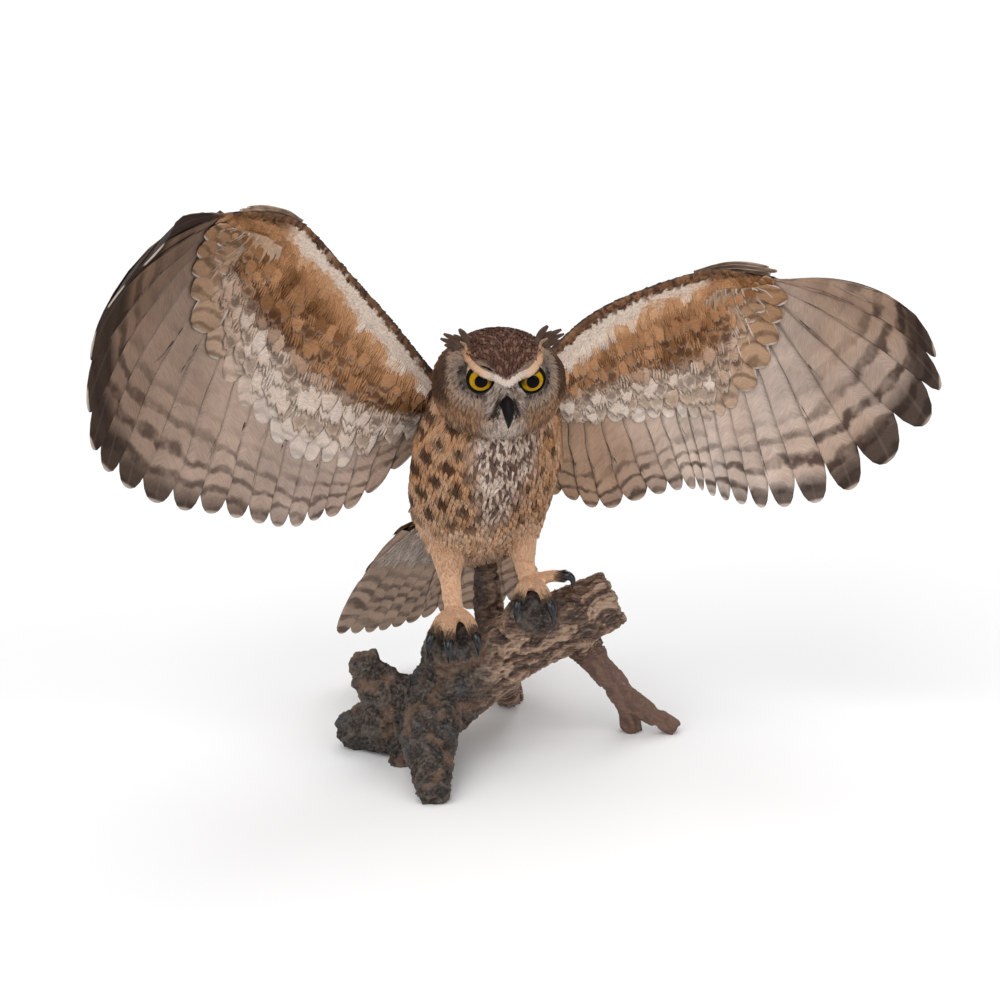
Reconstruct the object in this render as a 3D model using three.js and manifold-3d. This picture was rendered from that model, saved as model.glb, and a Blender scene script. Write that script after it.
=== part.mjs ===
// An owl with spread wings on a driftwood base: a painted resin casting, at life size.
// Millimetres, +Z up. The face looks towards -Y, and the owl's own right wing is on the -X side.
// Every body part is its own closed solid, parted from its neighbours by a thin gap.
import * as THREE from "three";
import { mergeVertices } from "three/addons/utils/BufferGeometryUtils.js";
import Module from "manifold-3d";

const wasm = await Module();
wasm.setup();

// ---------- driving dimensions ----------
const seam = 0.35; // gap between parts that meet
const floorLevel = 0;
const headCentre = [-14, -62, 346];
const headRadii = [54, 47, 46.5]; // across, front to back, up
const headTurn = 9; // degrees the face turns to the owl's left
const headNod = 0; // degrees the face tips down
const eyeRadius = 11.5;
const vaneThickness = 2;
const tipThinning = 0.3; // how much thinner each half of a vane is at its tip
const primaryCount = 10;
const secondaryCount = 9;
const flightCount = primaryCount + secondaryCount;
const tailFeatherCount = 12;

const v3 = (p) => new THREE.Vector3(...p);
const lerp = THREE.MathUtils.lerp;
const smooth = THREE.MathUtils.smoothstep;

// ---------- solids ----------
// A closed geometry as a manifold solid, whichever way its faces were wound.
function solidOf(geometry) {
  const bare = geometry.clone();
  bare.deleteAttribute("normal");
  bare.deleteAttribute("uv");
  const merged = mergeVertices(bare, 1e-4);
  const vertProperties = merged.attributes.position.array;
  const triVerts = new Uint32Array(merged.index.array);
  const made = new wasm.Manifold(new wasm.Mesh({ numProp: 3, vertProperties, triVerts }));
  if (made.volume() > 0) return made;
  for (let i = 0; i < triVerts.length; i += 3)
    [triVerts[i + 1], triVerts[i + 2]] = [triVerts[i + 2], triVerts[i + 1]];
  return new wasm.Manifold(new wasm.Mesh({ numProp: 3, vertProperties, triVerts }));
}

function geometryOf(solid) {
  const { vertProperties, triVerts, numProp } = solid.getMesh();
  const count = vertProperties.length / numProp;
  const positions = new Float32Array(count * 3);
  for (let i = 0; i < count; i++)
    positions.set(vertProperties.subarray(i * numProp, i * numProp + 3), i * 3);
  const geometry = new THREE.BufferGeometry();
  geometry.setAttribute("position", new THREE.BufferAttribute(positions, 3));
  geometry.setIndex(new THREE.BufferAttribute(new Uint32Array(triVerts), 1));
  geometry.computeVertexNormals();
  return geometry;
}

// Cuts can leave crumbs, so a part keeps only its largest piece.
function largest(solid) {
  return solid.decompose().reduce((a, b) => (b.volume() > a.volume() ? b : a));
}

const join = (solids) => solids.reduce((a, b) => a.add(b));
const cut = (solid, ...tools) => largest(tools.reduce((a, b) => a.subtract(b), solid));

// -1 at the low end of a range, 1 at its high end and 0 between them.
const endOf = (value, low, high) => (value >= high ? 1 : 0) - (value <= low ? 1 : 0);

// Moves every vertex of a geometry by a function of its place.
function reshape(geometry, place) {
  const p = geometry.attributes.position;
  for (let i = 0; i < p.count; i++) {
    const q = place(p.getX(i), p.getY(i), p.getZ(i));
    p.setXYZ(i, q.x, q.y, q.z);
  }
  return geometry;
}

const curveThrough = (points) => new THREE.CatmullRomCurve3(points.map(v3), false, "catmullrom", 0.5);

// Straight-line reading of a short list of values, at t from 0 to 1.
function along(values, t) {
  const x = THREE.MathUtils.clamp(t, 0, 1) * (values.length - 1);
  const i = Math.min(Math.floor(x), values.length - 2);
  return lerp(values[i], values[i + 1], x - i);
}

// A limb: rings along a curve. `across` and `deep` are short lists of its half widths from start to end,
// along `side` and square to it, `rough` makes it lumpy, and `grow` makes it larger all round.
function limb(shape) {
  const { points, across, deep = across, side = [1, 0, 0], rough = 0, grow = 0 } = shape;
  const { sides = 9, steps = 5 } = shape;
  const curve = curveThrough(points);
  const geometry = new THREE.CylinderGeometry(1, 1, 1, sides, steps);
  return solidOf(
    reshape(geometry, (x, y, z) => {
      const t = y + 0.5;
      const tangent = curve.getTangent(t);
      const u = v3(side).addScaledVector(tangent, -v3(side).dot(tangent)).normalize();
      const w = new THREE.Vector3().crossVectors(tangent, u);
      const lumps = 1 + rough * Math.sin(9 * t + 5 * x) * Math.sin(7 * t - 4 * z + 2);
      return curve
        .getPoint(t)
        .addScaledVector(u, x * (along(across, t) * lumps + grow))
        .addScaledVector(w, z * (along(deep, t) * lumps + grow))
        .addScaledVector(tangent, grow * endOf(t, 0, 1));
    }),
  );
}

// ---------- head ----------
// The head's own axes: sideways to the owl's left, up the face, and out of the face.
const radians = THREE.MathUtils.degToRad;
const headTurned = new THREE.Euler(radians(headNod), 0, radians(headTurn), "ZXY");
const headMatrix = new THREE.Matrix4().makeRotationFromEuler(headTurned).setPosition(v3(headCentre));
const onHead = (side, front, up) => new THREE.Vector3(side, -front, up).applyMatrix4(headMatrix);

const eyeSpots = { right: [-20.5, 34, 13.5], left: [20.5, 34, 11.5] }; // side, front, up on the head
const browRise = 0.78; // slope of the V that the brows make

// How far the head stands out in a direction given by unit side, front and up.
function headReach(side, front, up) {
  const face = smooth(front, 0.1, 0.75);
  const brow = up - 0.17 - browRise * Math.abs(side);
  const ridge = Math.exp(-((brow / 0.13) ** 2)) * face * 5.5;
  const eye = Math.exp(-((Math.abs(side) - 0.42) ** 2 + (up - 0.06) ** 2) / 0.05) * face * 7;
  const bridge = Math.exp(-((side / 0.14) ** 2) - ((up + 0.12) / 0.3) ** 2) * face * 4;
  const ruff = Math.exp(-(((front - 0.15) / 0.22) ** 2)) * smooth(0.75 - up, 0, 0.5) * 3;
  const jowl = smooth(-up, 0.2, 0.9) * -3;
  return ridge - eye + bridge + ruff + jowl;
}

function headShape(grow = 0) {
  const geometry = new THREE.SphereGeometry(1, 20, 13);
  return solidOf(
    reshape(geometry, (x, y, z) => {
      // three.js spheres have their poles on y, which here is the head's up
      const [wide, deep, tall] = headRadii.map((radius) => radius + headReach(x, z, y) + grow);
      const flat = 1 - 0.1 * smooth(z, 0.5, 1);
      return onHead(x * wide, z * deep * flat, y * tall);
    }),
  );
}

function eyeball(name, grow = 0) {
  const ball = new THREE.SphereGeometry(eyeRadius + grow, 12, 8);
  const middle = onHead(...eyeSpots[name]);
  return solidOf(ball.translate(middle.x, middle.y, middle.z));
}

function beakShape(grow = 0) {
  const line = [[0, 38, 0], [0, 48, -2], [0, 53.5, -12], [0, 52, -24]];
  return limb({
    points: line.map((p) => onHead(...p).toArray()),
    across: [7, 7, 5.6, 1.2],
    deep: [9, 8.5, 6, 1.2],
    sides: 8,
    steps: 5,
    grow,
  });
}

// Each tuft is two pointed lobes that sweep up and out.
const tuftLobes = [
  { root: [25, 17, 35], tip: [34, 17, 50], width: 7 },
  { root: [32, 14, 31], tip: [46, 13, 45], width: 7 },
];

function earTuft(sign) {
  const lobe = ({ root, tip, width }) =>
    limb({
      points: [root, tip].map(([side, front, up]) => onHead(sign * side, front, up).toArray()),
      across: [width, width, 1.2],
      deep: [5, 4, 1],
      sides: 6,
      steps: 2,
    });
  return join(tuftLobes.map(lobe));
}

// ---------- neck, trunk and tail ----------
const spine = {
  points: [
    [-36, 82, 158], [-33, 50, 186], [-29, 14, 232],
    [-22, -10, 276], [-17, -26, 312], [-14, -40, 340],
  ],
  across: [20, 46, 63, 65, 56, 44],
  deep: [16, 38, 56, 60, 52, 42],
};
const bodySide = [0.94, 0.34, 0]; // towards the owl's left
const bodyShape = (grow = 0) => limb({ ...spine, side: bodySide, sides: 16, steps: 10, grow });

// A block whose underside is square to the neck, at a distance above where neck and trunk part.
const neckCut = [-16, -26, 318];
const neckTilt = -0.35;
function aboveNeck(distance) {
  const block = new THREE.BoxGeometry(400, 400, 300);
  block.translate(0, 0, 150 + distance).rotateX(neckTilt).translate(...neckCut);
  return solidOf(block);
}

const tailFan = {
  rootLine: [[-86, 56, 190], [4, 66, 186]],
  tips: [
    [-164, 146, 56], [-134, 176, 46], [-104, 196, 45],
    [-68, 212, 52], [-13, 214, 60], [20, 200, 78],
  ],
  arch: 9,
};

// A fan of overlapping feathers as one thin plate with a scalloped edge. surface(t, c) gives its places,
// t across the fan and c from base(t) out to the tips. `notch` is how much less far the plate reaches
// between two feathers, and `lobe` how much of that is left at each strip across one feather.
const roundLobe = [1, 0.16, 0, 0.16];
const bluntLobe = [1, 0.04, 0.04];
function fan({ surface, first, last, count, notch, lobe = bluntLobe, base = () => 0, grow = 0 }) {
  const strips = lobe.length * (last - first + 1);
  const plate = new THREE.BoxGeometry(1, 1, 1, strips, 1, 2);
  return solidOf(
    reshape(plate, (x, y, z) => {
      const strip = Math.round((x + 0.5) * strips);
      const t = (first + strip / lobe.length) / count;
      const reach = 1 - along(notch, t) * lobe[strip % lobe.length];
      const c = lerp(base(t), reach, z + 0.5);
      const ahead = surface(t, c + 0.02).sub(surface(t, c - 0.02)).normalize();
      const sideways = surface(t + 0.01, c).sub(surface(t - 0.01, c)).normalize();
      const up = new THREE.Vector3().crossVectors(ahead, sideways).normalize();
      const thick = vaneThickness / 2 - (z >= 0.5 ? tipThinning : 0);
      return surface(t, c)
        .addScaledVector(up, 2 * y * (thick + grow))
        .addScaledVector(ahead, grow * endOf(z, -0.5, 0.5))
        .addScaledVector(sideways, grow * endOf(x, -0.5, 0.5));
    }),
  );
}

function tailPlace(t, c) {
  const tips = (tailFan.tipCurve ??= curveThrough(tailFan.tips));
  const edge = THREE.MathUtils.clamp(t, 0, 1);
  const tip = tips.getPoint(edge).addScaledVector(tips.getTangent(edge), (t - edge) * tips.getLength());
  const root = v3(tailFan.rootLine[0]).lerp(v3(tailFan.rootLine[1]), t);
  return root.lerp(tip, c).add(new THREE.Vector3(0, 0, tailFan.arch * 4 * c * (1 - c)));
}

const tailShape = () =>
  fan({
    surface: tailPlace,
    first: 0,
    last: tailFeatherCount - 1,
    count: tailFeatherCount,
    notch: [0.08, 0.05, 0.08],
  });

// ---------- wings ----------
// Feathers are numbered from the innermost secondary, 0, to the outermost primary.
// A wing is a fan from its leading edge to its feather tips, hollow towards the front.
const wings = {
  right: {
    lead: [
      [-67, -10, 334], [-100, -25, 382], [-139, -34, 430], [-172, -46, 470],
      [-197, -58, 482], [-219, -72, 487], [-237, -92, 490],
    ],
    tips: [
      [-82, 28, 262], [-131, 12, 220], [-164, -8, 211], [-195, -30, 211], [-229, -55, 228],
      [-271, -88, 243], [-314, -125, 276], [-333, -165, 328], [-319, -193, 424], [-260, -193, 495],
    ],
    hollow: [[-4, 12, 4], [-8, 26, 6], [-12, 36, 6], [-22, 44, 8], [-9, 12, 4]],
    notch: [0.05, 0.05, 0.06, 0.09, 0.1],
    share: [0.6, 0.67, 0.67, 0.57, 0.36, 0.18, 0.13],
    alula: [[-171, -44, 471], [-193, -57, 484], [-218, -76, 491]],
  },
  left: {
    lead: [
      [32, 24, 350], [65, 40, 375], [106, 58, 391], [153, 78, 402],
      [176, 78, 405], [200, 76, 403], [222, 74, 399],
    ],
    tips: [
      [41, 60, 210], [77, 66, 198], [122, 72, 208], [153, 76, 213], [171, 74, 208],
      [197, 66, 202], [237, 54, 203], [297, 40, 229], [356, 26, 300], [347, 12, 366],
    ],
    hollow: [[0, 10, 0], [0, 18, 0], [0, 24, 0], [8, 18, 4], [12, 6, 17]],
    notch: [0.05, 0.05, 0.06, 0.12, 0.14],
    share: [0.42, 0.5, 0.58, 0.6, 0.42, 0.2, 0.14],
    alula: [[152, 80, 401], [187, 84, 408], [224, 84, 405]],
  },
};
for (const wing of Object.values(wings)) {
  wing.leadCurve = curveThrough(wing.lead);
  wing.tipCurve = curveThrough(wing.tips);
}

// A point on the wing: t along it from body to tip, c from leading edge to feather tip.
function onWing(wing, t, c) {
  const edge = THREE.MathUtils.clamp(t, 0, 1);
  const past = t - edge;
  const root = wing.leadCurve.getPoint(edge);
  root.addScaledVector(wing.leadCurve.getTangent(edge), past * wing.leadCurve.getLength());
  const tip = wing.tipCurve.getPoint(edge);
  tip.addScaledVector(wing.tipCurve.getTangent(edge), past * wing.tipCurve.getLength());
  const station = edge * (wing.hollow.length - 1);
  const near = Math.min(Math.floor(station), wing.hollow.length - 2);
  const hollow = v3(wing.hollow[near]).lerp(v3(wing.hollow[near + 1]), smooth(station - near, 0, 1));
  const middle = root.clone().lerp(tip, 0.5).addScaledVector(hollow, 2);
  return root
    .multiplyScalar((1 - c) ** 2)
    .addScaledVector(middle, 2 * c * (1 - c))
    .addScaledVector(tip, c * c);
}

// The fleshy front of the wing, under its coverts, from one feather to another.
function lining(wing, from, to, grow = 0) {
  const pad = new THREE.BoxGeometry(1, 1, 1, Math.round(to - from), 1, 4);
  return solidOf(
    reshape(pad, (x, y, z) => {
      const t = lerp(from, to, x + 0.5) / flightCount;
      const share = along(wing.share, t);
      const c = -0.02 + (z + 0.5) ** 1.4 * (share + 0.02);
      const ahead = onWing(wing, t, c + 0.02).sub(onWing(wing, t, c - 0.02)).normalize();
      const side = Math.max(c, 0.05);
      const sideways = onWing(wing, t + 0.02, side).sub(onWing(wing, t - 0.02, side)).normalize();
      const up = new THREE.Vector3().crossVectors(ahead, sideways).normalize();
      const front = Math.sqrt(Math.min(1, (c + 0.02) / 0.09 + 0.04));
      const thick = lerp(9, 5, t) * front * (1 - 0.62 * smooth(c, 0.1, share)) + 0.4;
      return onWing(wing, t, c)
        .addScaledVector(up, 2 * y * (thick + grow))
        .addScaledVector(ahead, grow * endOf(z, -0.5, 0.5))
        .addScaledVector(sideways, grow * endOf(x, -0.5, 0.5));
    }),
  );
}

// The flight feathers, from just under the coverts outwards.
const covered = 0.02; // share of a feather's length that reaches in under the coverts
const flightFeathers = (wing, first, last, grow = 0) =>
  fan({
    surface: (t, c) => onWing(wing, t, c),
    first,
    last,
    count: flightCount,
    notch: wing.notch,
    lobe: first < secondaryCount ? bluntLobe : roundLobe,
    base: (t) => along(wing.share, t) - covered,
    grow,
  });

// The alula: short stiff feathers that lie along the wrist.
const alula = (wing) =>
  limb({
    points: wing.alula,
    across: [9, 11, 9, 2],
    deep: [2.4, 2.2, 1.8, 1.2],
    side: [0.2, -0.6, 0.75],
    sides: 8,
  });

// ---------- legs, feet and talons ----------
const legs = {
  right: {
    points: [[-64, 26, 216], [-58, 8, 186], [-55, -8, 160], [-52, -21, 138]],
    across: [27, 16.5, 9.4, 8.4],
  },
  left: {
    points: [[4, 22, 226], [6, 8, 190], [8, -3, 172], [12, -10, 158]],
    across: [27, 13, 9.2, 8.6],
  },
};
const feet = {
  right: [
    [[-52, -23, 136], [-62, -39, 133], [-69, -51, 124]],
    [[-52, -23, 136], [-50, -44, 132], [-50, -58, 121]],
    [[-52, -23, 136], [-40, -39, 134], [-34, -52, 125]],
    [[-52, -19, 136], [-54, 2, 136], [-56, 20, 126]],
  ],
  left: [
    [[13, -12, 158], [6, -28, 158], [3, -39, 150]],
    [[13, -12, 158], [22, -30, 158], [28, -41, 149]],
    [[13, -12, 158], [29, -19, 165], [40, -25, 167]],
    [[13, -8, 158], [14, 14, 160], [12, 30, 149]],
  ],
};
const toeRadii = [7.4, 5.9, 5.6];

const legShape = (name, grow = 0) => limb({ ...legs[name], steps: 5, grow });
const toeShape = (points, grow) => limb({ points, across: toeRadii, sides: 6, steps: 2, grow });
const footShape = (name, grow = 0) => join(feet[name].map((points) => toeShape(points, grow)));

// A claw runs on from its toe and curls down.
function talonShape(points) {
  const tip = v3(points[2]);
  const ahead = tip.clone().sub(v3(points[1])).normalize();
  const down = new THREE.Vector3(0, 0.25, -1);
  const reach = (a, b) => tip.clone().addScaledVector(ahead, a).addScaledVector(down, b).toArray();
  return limb({
    points: [reach(-2, 0.5), reach(5.5, 0), reach(10, 4), reach(9.5, 12.5)],
    across: [4.6, 4.1, 2.9, 0.8],
    sides: 5,
    steps: 4,
  });
}

// ---------- driftwood base ----------
const driftwood = {
  base_log: {
    points: [[-104, -20, 34], [-74, -14, 44], [-42, -8, 73], [2, -4, 99], [42, 0, 118], [84, 2, 139]],
    across: [30, 32, 34, 28, 27, 24],
    rough: 0.1,
    sides: 12,
    steps: 10,
  },
  base_perch_right: {
    points: [[-50, -6, 82], [-50, -26, 108], [-50, -32, 118]],
    across: [31, 25, 13],
    rough: 0.12,
  },
  base_perch_left: {
    points: [[8, -2, 108], [13, -14, 132], [15, -18, 140]],
    across: [24, 18, 10],
    rough: 0.12,
  },
  base_knob: {
    points: [[-98, -18, 50], [-120, -20, 72], [-129, -22, 94]],
    across: [25, 18, 12],
    rough: 0.16,
  },
  base_root_left: {
    points: [[-90, -8, 34], [-120, 4, 22], [-150, 10, 14]],
    across: [30, 24, 13],
    rough: 0.14,
  },
  base_root_front: {
    points: [[-72, -30, 48], [-72, -68, 30], [-67, -122, 8]],
    across: [28, 22, 12],
    rough: 0.1,
  },
  base_root_small: {
    points: [[-88, -16, 36], [-97, -28, 16], [-98, -30, -4]],
    across: [12, 10, 9],
    rough: 0.1,
  },
  base_root_back: {
    points: [[-16, 4, 84], [-10, 62, 44], [-4, 124, 2]],
    across: [20, 14, 12],
    rough: 0.06,
  },
  base_prop: {
    points: [[46, 6, 112], [72, 22, 72], [94, 34, 38], [104, 50, -4]],
    across: [19, 13, 12, 9.5],
    rough: 0.05,
  },
  base_prop_fork: {
    points: [[94, 32, 40], [118, 38, 20], [142, 42, 4]],
    across: [11, 10, 8],
    rough: 0.06,
  },
  base_stub: {
    points: [[-20, 6, 92], [-23, 24, 130], [-27, 34, 186]],
    across: [15, 12, 8],
    rough: 0.08,
  },
};
const woodShape = (name, grow = 0) => limb({ ...driftwood[name], grow });

// ---------- materials ----------
const paint = (color, roughness) => new THREE.MeshStandardMaterial({ color, roughness, metalness: 0 });
const paints = {
  plumage: paint(0x9c7a58, 0.8),
  crown: paint(0x4d3d36, 0.8),
  flight: paint(0xa08d80, 0.75),
  lining: paint(0xb08256, 0.8),
  leg: paint(0xc9a27e, 0.75),
  claw: paint(0x24242a, 0.3),
  eye: paint(0xc99a12, 0.08),
  wood: paint(0x5b463a, 0.85),
};

// ---------- assembly ----------
const owl = new THREE.Group();
const part = new THREE.Group().add(owl);
function place(name, solid, material) {
  const mesh = new THREE.Mesh(geometryOf(solid), material);
  mesh.name = name;
  owl.add(mesh);
}

const underFloor = solidOf(new THREE.BoxGeometry(900, 900, 200).translate(0, 0, floorLevel - 100));
const log = cut(woodShape("base_log"), underFloor);
const logTool = woodShape("base_log", seam);
place("base_log", log, paints.wood);
let woodTools = logTool;
for (const name of Object.keys(driftwood).slice(1)) {
  const body = name === "base_stub" ? [bodyShape(seam)] : [];
  const piece = cut(woodShape(name), woodTools, underFloor, ...body);
  place(name, piece, paints.wood);
  woodTools = woodTools.add(woodShape(name, seam));
}

const body = bodyShape();
const bodyTool = bodyShape(seam);
const head = cut(headShape(), eyeball("right", seam), eyeball("left", seam));
const headTool = headShape(seam);
place("head", head, paints.crown);
for (const name of ["right", "left"]) place("eye_" + name, eyeball(name), paints.eye);
place("beak", cut(beakShape(), headTool), paints.claw);
place("ear_tuft_right", cut(earTuft(-1), headTool), paints.crown);
place("ear_tuft_left", cut(earTuft(1), headTool), paints.crown);
place("neck", cut(body.intersect(aboveNeck(seam / 2)), headTool), paints.plumage);
place("trunk", cut(body, aboveNeck(-seam / 2), headTool), paints.plumage);
place("tail", cut(tailShape(), bodyTool, woodTools), paints.flight);

const hidden = 2; // secondaries that lie behind the body
const split = 0.08; // half the gap between arm and hand, in feathers
for (const name of ["right", "left"]) {
  const wing = wings[name];
  const legTool = legShape(name, seam);
  const arm = (grow) => lining(wing, -hidden, secondaryCount - split, grow);
  const hand = (grow) => lining(wing, secondaryCount + split, flightCount + 0.4, grow);
  const primaries = flightFeathers(wing, secondaryCount, flightCount - 1);
  const secondaries = flightFeathers(wing, -hidden, secondaryCount - 1);
  place(`wing_${name}_arm`, cut(arm(), bodyTool, headTool), paints.lining);
  place(`wing_${name}_hand`, hand(), paints.lining);
  const linings = [arm(seam), hand(seam)];
  place(`wing_${name}_primaries`, cut(primaries, ...linings), paints.flight);
  const primariesTool = flightFeathers(wing, secondaryCount, flightCount - 1, seam);
  const inner = cut(secondaries, ...linings, primariesTool, bodyTool, legTool);
  place(`wing_${name}_secondaries`, inner, paints.flight);
  place(`wing_${name}_alula`, cut(alula(wing), ...linings), paints.lining);

  place(`leg_${name}`, cut(legShape(name), bodyTool, woodTools), paints.leg);
  place(`foot_${name}`, cut(footShape(name), legTool, woodTools), paints.leg);
  feet[name].forEach((points, i) => {
    const talon = cut(talonShape(points), footShape(name, seam), legTool, woodTools);
    place(`talon_${name}_${i + 1}`, talon, paints.claw);
  });
}

// The origin is on the floor, under the middle of the whole casting.
const extent = new THREE.Box3().setFromObject(owl);
const middle = extent.getCenter(new THREE.Vector3());
owl.position.set(-middle.x, -middle.y, floorLevel - extent.min.z);

export default part;
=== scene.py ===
# An owl with spread wings on a driftwood base, as a painted resin casting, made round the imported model.
# Metres, +Z up. The face looks towards -Y, and the owl's own right wing is on the -X side.
import math
import bmesh
import bpy
import numpy as np
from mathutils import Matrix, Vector, noise
from mathutils.bvhtree import BVHTree
from mathutils.kdtree import KDTree


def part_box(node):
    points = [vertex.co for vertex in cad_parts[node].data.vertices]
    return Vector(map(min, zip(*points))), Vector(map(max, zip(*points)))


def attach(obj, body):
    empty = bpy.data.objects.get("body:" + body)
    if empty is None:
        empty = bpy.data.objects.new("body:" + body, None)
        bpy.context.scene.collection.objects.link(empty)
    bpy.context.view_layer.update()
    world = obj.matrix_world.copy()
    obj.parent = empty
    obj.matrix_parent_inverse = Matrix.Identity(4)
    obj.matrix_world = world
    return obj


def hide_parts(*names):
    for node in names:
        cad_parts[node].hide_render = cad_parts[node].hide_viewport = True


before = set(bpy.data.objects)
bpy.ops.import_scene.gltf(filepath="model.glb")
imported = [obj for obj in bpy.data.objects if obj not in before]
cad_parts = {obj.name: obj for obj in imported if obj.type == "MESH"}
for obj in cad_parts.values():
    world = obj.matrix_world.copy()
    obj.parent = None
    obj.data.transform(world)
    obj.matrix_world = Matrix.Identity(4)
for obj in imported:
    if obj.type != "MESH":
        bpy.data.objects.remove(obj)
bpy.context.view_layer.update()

mm = 0.001
sides = {"right": -1, "left": 1}


# Colours are given as they look on screen and turned to light values here.
def paint(red, green, blue):
    return np.array([((v / 255 + 0.055) / 1.055) ** 2.4 for v in (red, green, blue)])


paints = {
    "umber": paint(60, 38, 28),
    "charcoal": paint(36, 28, 25),
    "tawny": paint(174, 124, 84),
    "fawn": paint(188, 138, 98),
    "rust": paint(158, 106, 64),
    "buff": paint(236, 186, 144),
    "sand": paint(198, 166, 138),
    "cream": paint(236, 212, 192),
    "white": paint(222, 206, 194),
    "ash": paint(166, 148, 136),
    "blueGrey": paint(96, 88, 90),
    "crown": paint(104, 76, 64),
    "rose": paint(178, 148, 130),
}


def lerp(a, b, t):
    return a + (b - a) * t


def smooth(value, low, high):
    x = np.clip((np.asarray(value, float) - low) / (high - low), 0, 1)
    return x * x * (3 - 2 * x)


def unit(v):
    return v / np.maximum(np.linalg.norm(v, axis=-1, keepdims=True), 1e-12)


def dot(a, b):
    return np.sum(np.asarray(a) * np.asarray(b), axis=-1, keepdims=True)


# Numbers or arrays side by side, as the columns of one array.
def columns(*parts):
    return np.stack(np.broadcast_arrays(*parts), -1)


def circle(count):
    return np.linspace(0, 2 * np.pi, count, endpoint=False)


# Every number below a count with the one after it, going round.
def wrapped(count):
    return [(j, (j + 1) % count) for j in range(count)]


# Directions turned by an angle from u towards w.
def spokes(u, w, angle):
    return u * np.cos(angle)[:, None] + w * np.sin(angle)[:, None]


# Two directions square to a path: as near to `side` as they can be, and square to that.
def squareTo(ahead, side):
    u = unit(side - dot(side, ahead) * ahead)
    return u, np.cross(ahead, u)


# Straight-line reading of a short list of values, at t from 0 to 1. One value holds all along.
def along(values, t):
    return np.interp(np.clip(t, 0, 1), np.linspace(0, 1, len(values)), values)


# A smooth curve through points, going on straight past both ends.
def curveAt(points, t):
    p = np.asarray(points, float)
    p = np.vstack([2 * p[0] - p[1], p, 2 * p[-1] - p[-2]])
    t = np.asarray(t, float)
    spans = len(points) - 1
    x = np.clip(t, 0, 1) * spans
    i = np.minimum(x.astype(int), spans - 1)
    f = (x - i)[..., None]
    a, b, c, d = (p[i + k] for k in range(4))
    slopeIn = (c - a) / 2
    slopeOut = (d - b) / 2
    value = b + f * slopeIn + f**2 * (3 * (c - b) - 2 * slopeIn - slopeOut)
    value = value + f**3 * (2 * (b - c) + slopeIn + slopeOut)
    past = (t - np.clip(t, 0, 1))[..., None]
    ends = np.where(past < 0, p[2] - p[0], p[-1] - p[-3])
    return value + past * unit(ends) * curveLength(points) if np.any(past) else value


def curveLength(points):
    fine = curveAt(points, np.linspace(0, 1, 120))
    return np.sum(np.linalg.norm(np.diff(fine, axis=0), axis=1))


def tangentAt(points, t):
    return unit(curveAt(points, np.asarray(t) + 0.004) - curveAt(points, np.asarray(t) - 0.004))


# Meshes are kept as pairs of arrays, points and faces, until they become objects.
def merged(shapes):
    points, faces, start = [], [], 0
    for somePoints, someFaces in shapes:
        points.append(somePoints)
        faces += [tuple(start + i for i in face) for face in someFaces]
        start += len(somePoints)
    return np.vstack(points), faces


def outward(points, faces):
    volume = 0.0
    for face in faces:
        for k in range(1, len(face) - 1):
            a, b, c = points[face[0]], points[face[k]], points[face[k + 1]]
            volume += a[0] * (b[1] * c[2] - b[2] * c[1])
            volume += a[1] * (b[2] * c[0] - b[0] * c[2])
            volume += a[2] * (b[0] * c[1] - b[1] * c[0])
    return (points, faces) if volume > 0 else (points, [tuple(reversed(face)) for face in faces])


# Rings of equal length, joined into a tube with both ends closed.
def tube(rings):
    rings = np.asarray(rings)
    rows, size = rings.shape[:2]
    points = np.vstack([rings.reshape(-1, 3), rings[0].mean(0), rings[-1].mean(0)])
    faces = [
        (i * size + j, i * size + k, (i + 1) * size + k, (i + 1) * size + j)
        for i in range(rows - 1) for j, k in wrapped(size)
    ]
    last = (rows - 1) * size
    for j, k in wrapped(size):
        faces.append((k, j, rows * size))
        faces.append((last + j, last + k, rows * size + 1))
    return outward(points, faces)


# Two grids of points, an upper and a lower, joined at their rims into one closed slab.
def slab(upper, lower):
    rows, wide = upper.shape[:2]
    size = rows * wide
    points = np.vstack([upper.reshape(-1, 3), lower.reshape(-1, 3)])
    faces = []
    for i in range(rows - 1):
        for j in range(wide - 1):
            a = i * wide + j
            quad = (a, a + 1, a + wide + 1, a + wide)
            faces.append(quad)
            faces.append(tuple(size + k for k in reversed(quad)))
    rim = [j for j in range(wide)]
    rim += [i * wide + wide - 1 for i in range(1, rows)]
    rim += [(rows - 1) * wide + j for j in range(wide - 2, -1, -1)]
    rim += [i * wide for i in range(rows - 2, 0, -1)]
    for a, b in zip(rim, rim[1:] + rim[:1]):
        faces.append((b, a, size + a, size + b))
    return points, faces


def meshObject(name, points, faces):
    mesh = bpy.data.meshes.new(name)
    mesh.from_pydata(np.asarray(points).tolist(), [], faces)
    mesh.update()
    made = bpy.data.objects.new(name, mesh)
    bpy.context.scene.collection.objects.link(made)
    return made


def shadeSmooth(piece):
    piece.data.polygons.foreach_set("use_smooth", [True] * len(piece.data.polygons))
    piece.data.update()


def pointsOf(mesh, what="co"):
    found = np.empty(len(mesh.vertices) * 3)
    mesh.vertices.foreach_get(what, found)
    return found.reshape(-1, 3)


layerKinds = {1: ("FLOAT", "value"), 3: ("FLOAT_VECTOR", "vector"), 4: ("FLOAT_COLOR", "color")}


# Gives every point of a piece a number, a vector or, with four columns, a colour.
def addLayer(piece, name, values):
    values = np.asarray(values, np.float32).reshape(len(values), -1)
    kind, field = layerKinds[values.shape[1]]
    piece.data.attributes.new(name, kind, "POINT").data.foreach_set(field, values.ravel())


def addTint(piece, colors):
    addLayer(piece, "tint", np.hstack([np.clip(colors, 0, 1), np.ones((len(colors), 1))]))


def report(piece, count):
    triangles = sum(len(polygon.vertices) - 2 for polygon in piece.data.polygons)
    print(piece.name, count, "feathers,", triangles, "triangles")


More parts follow.
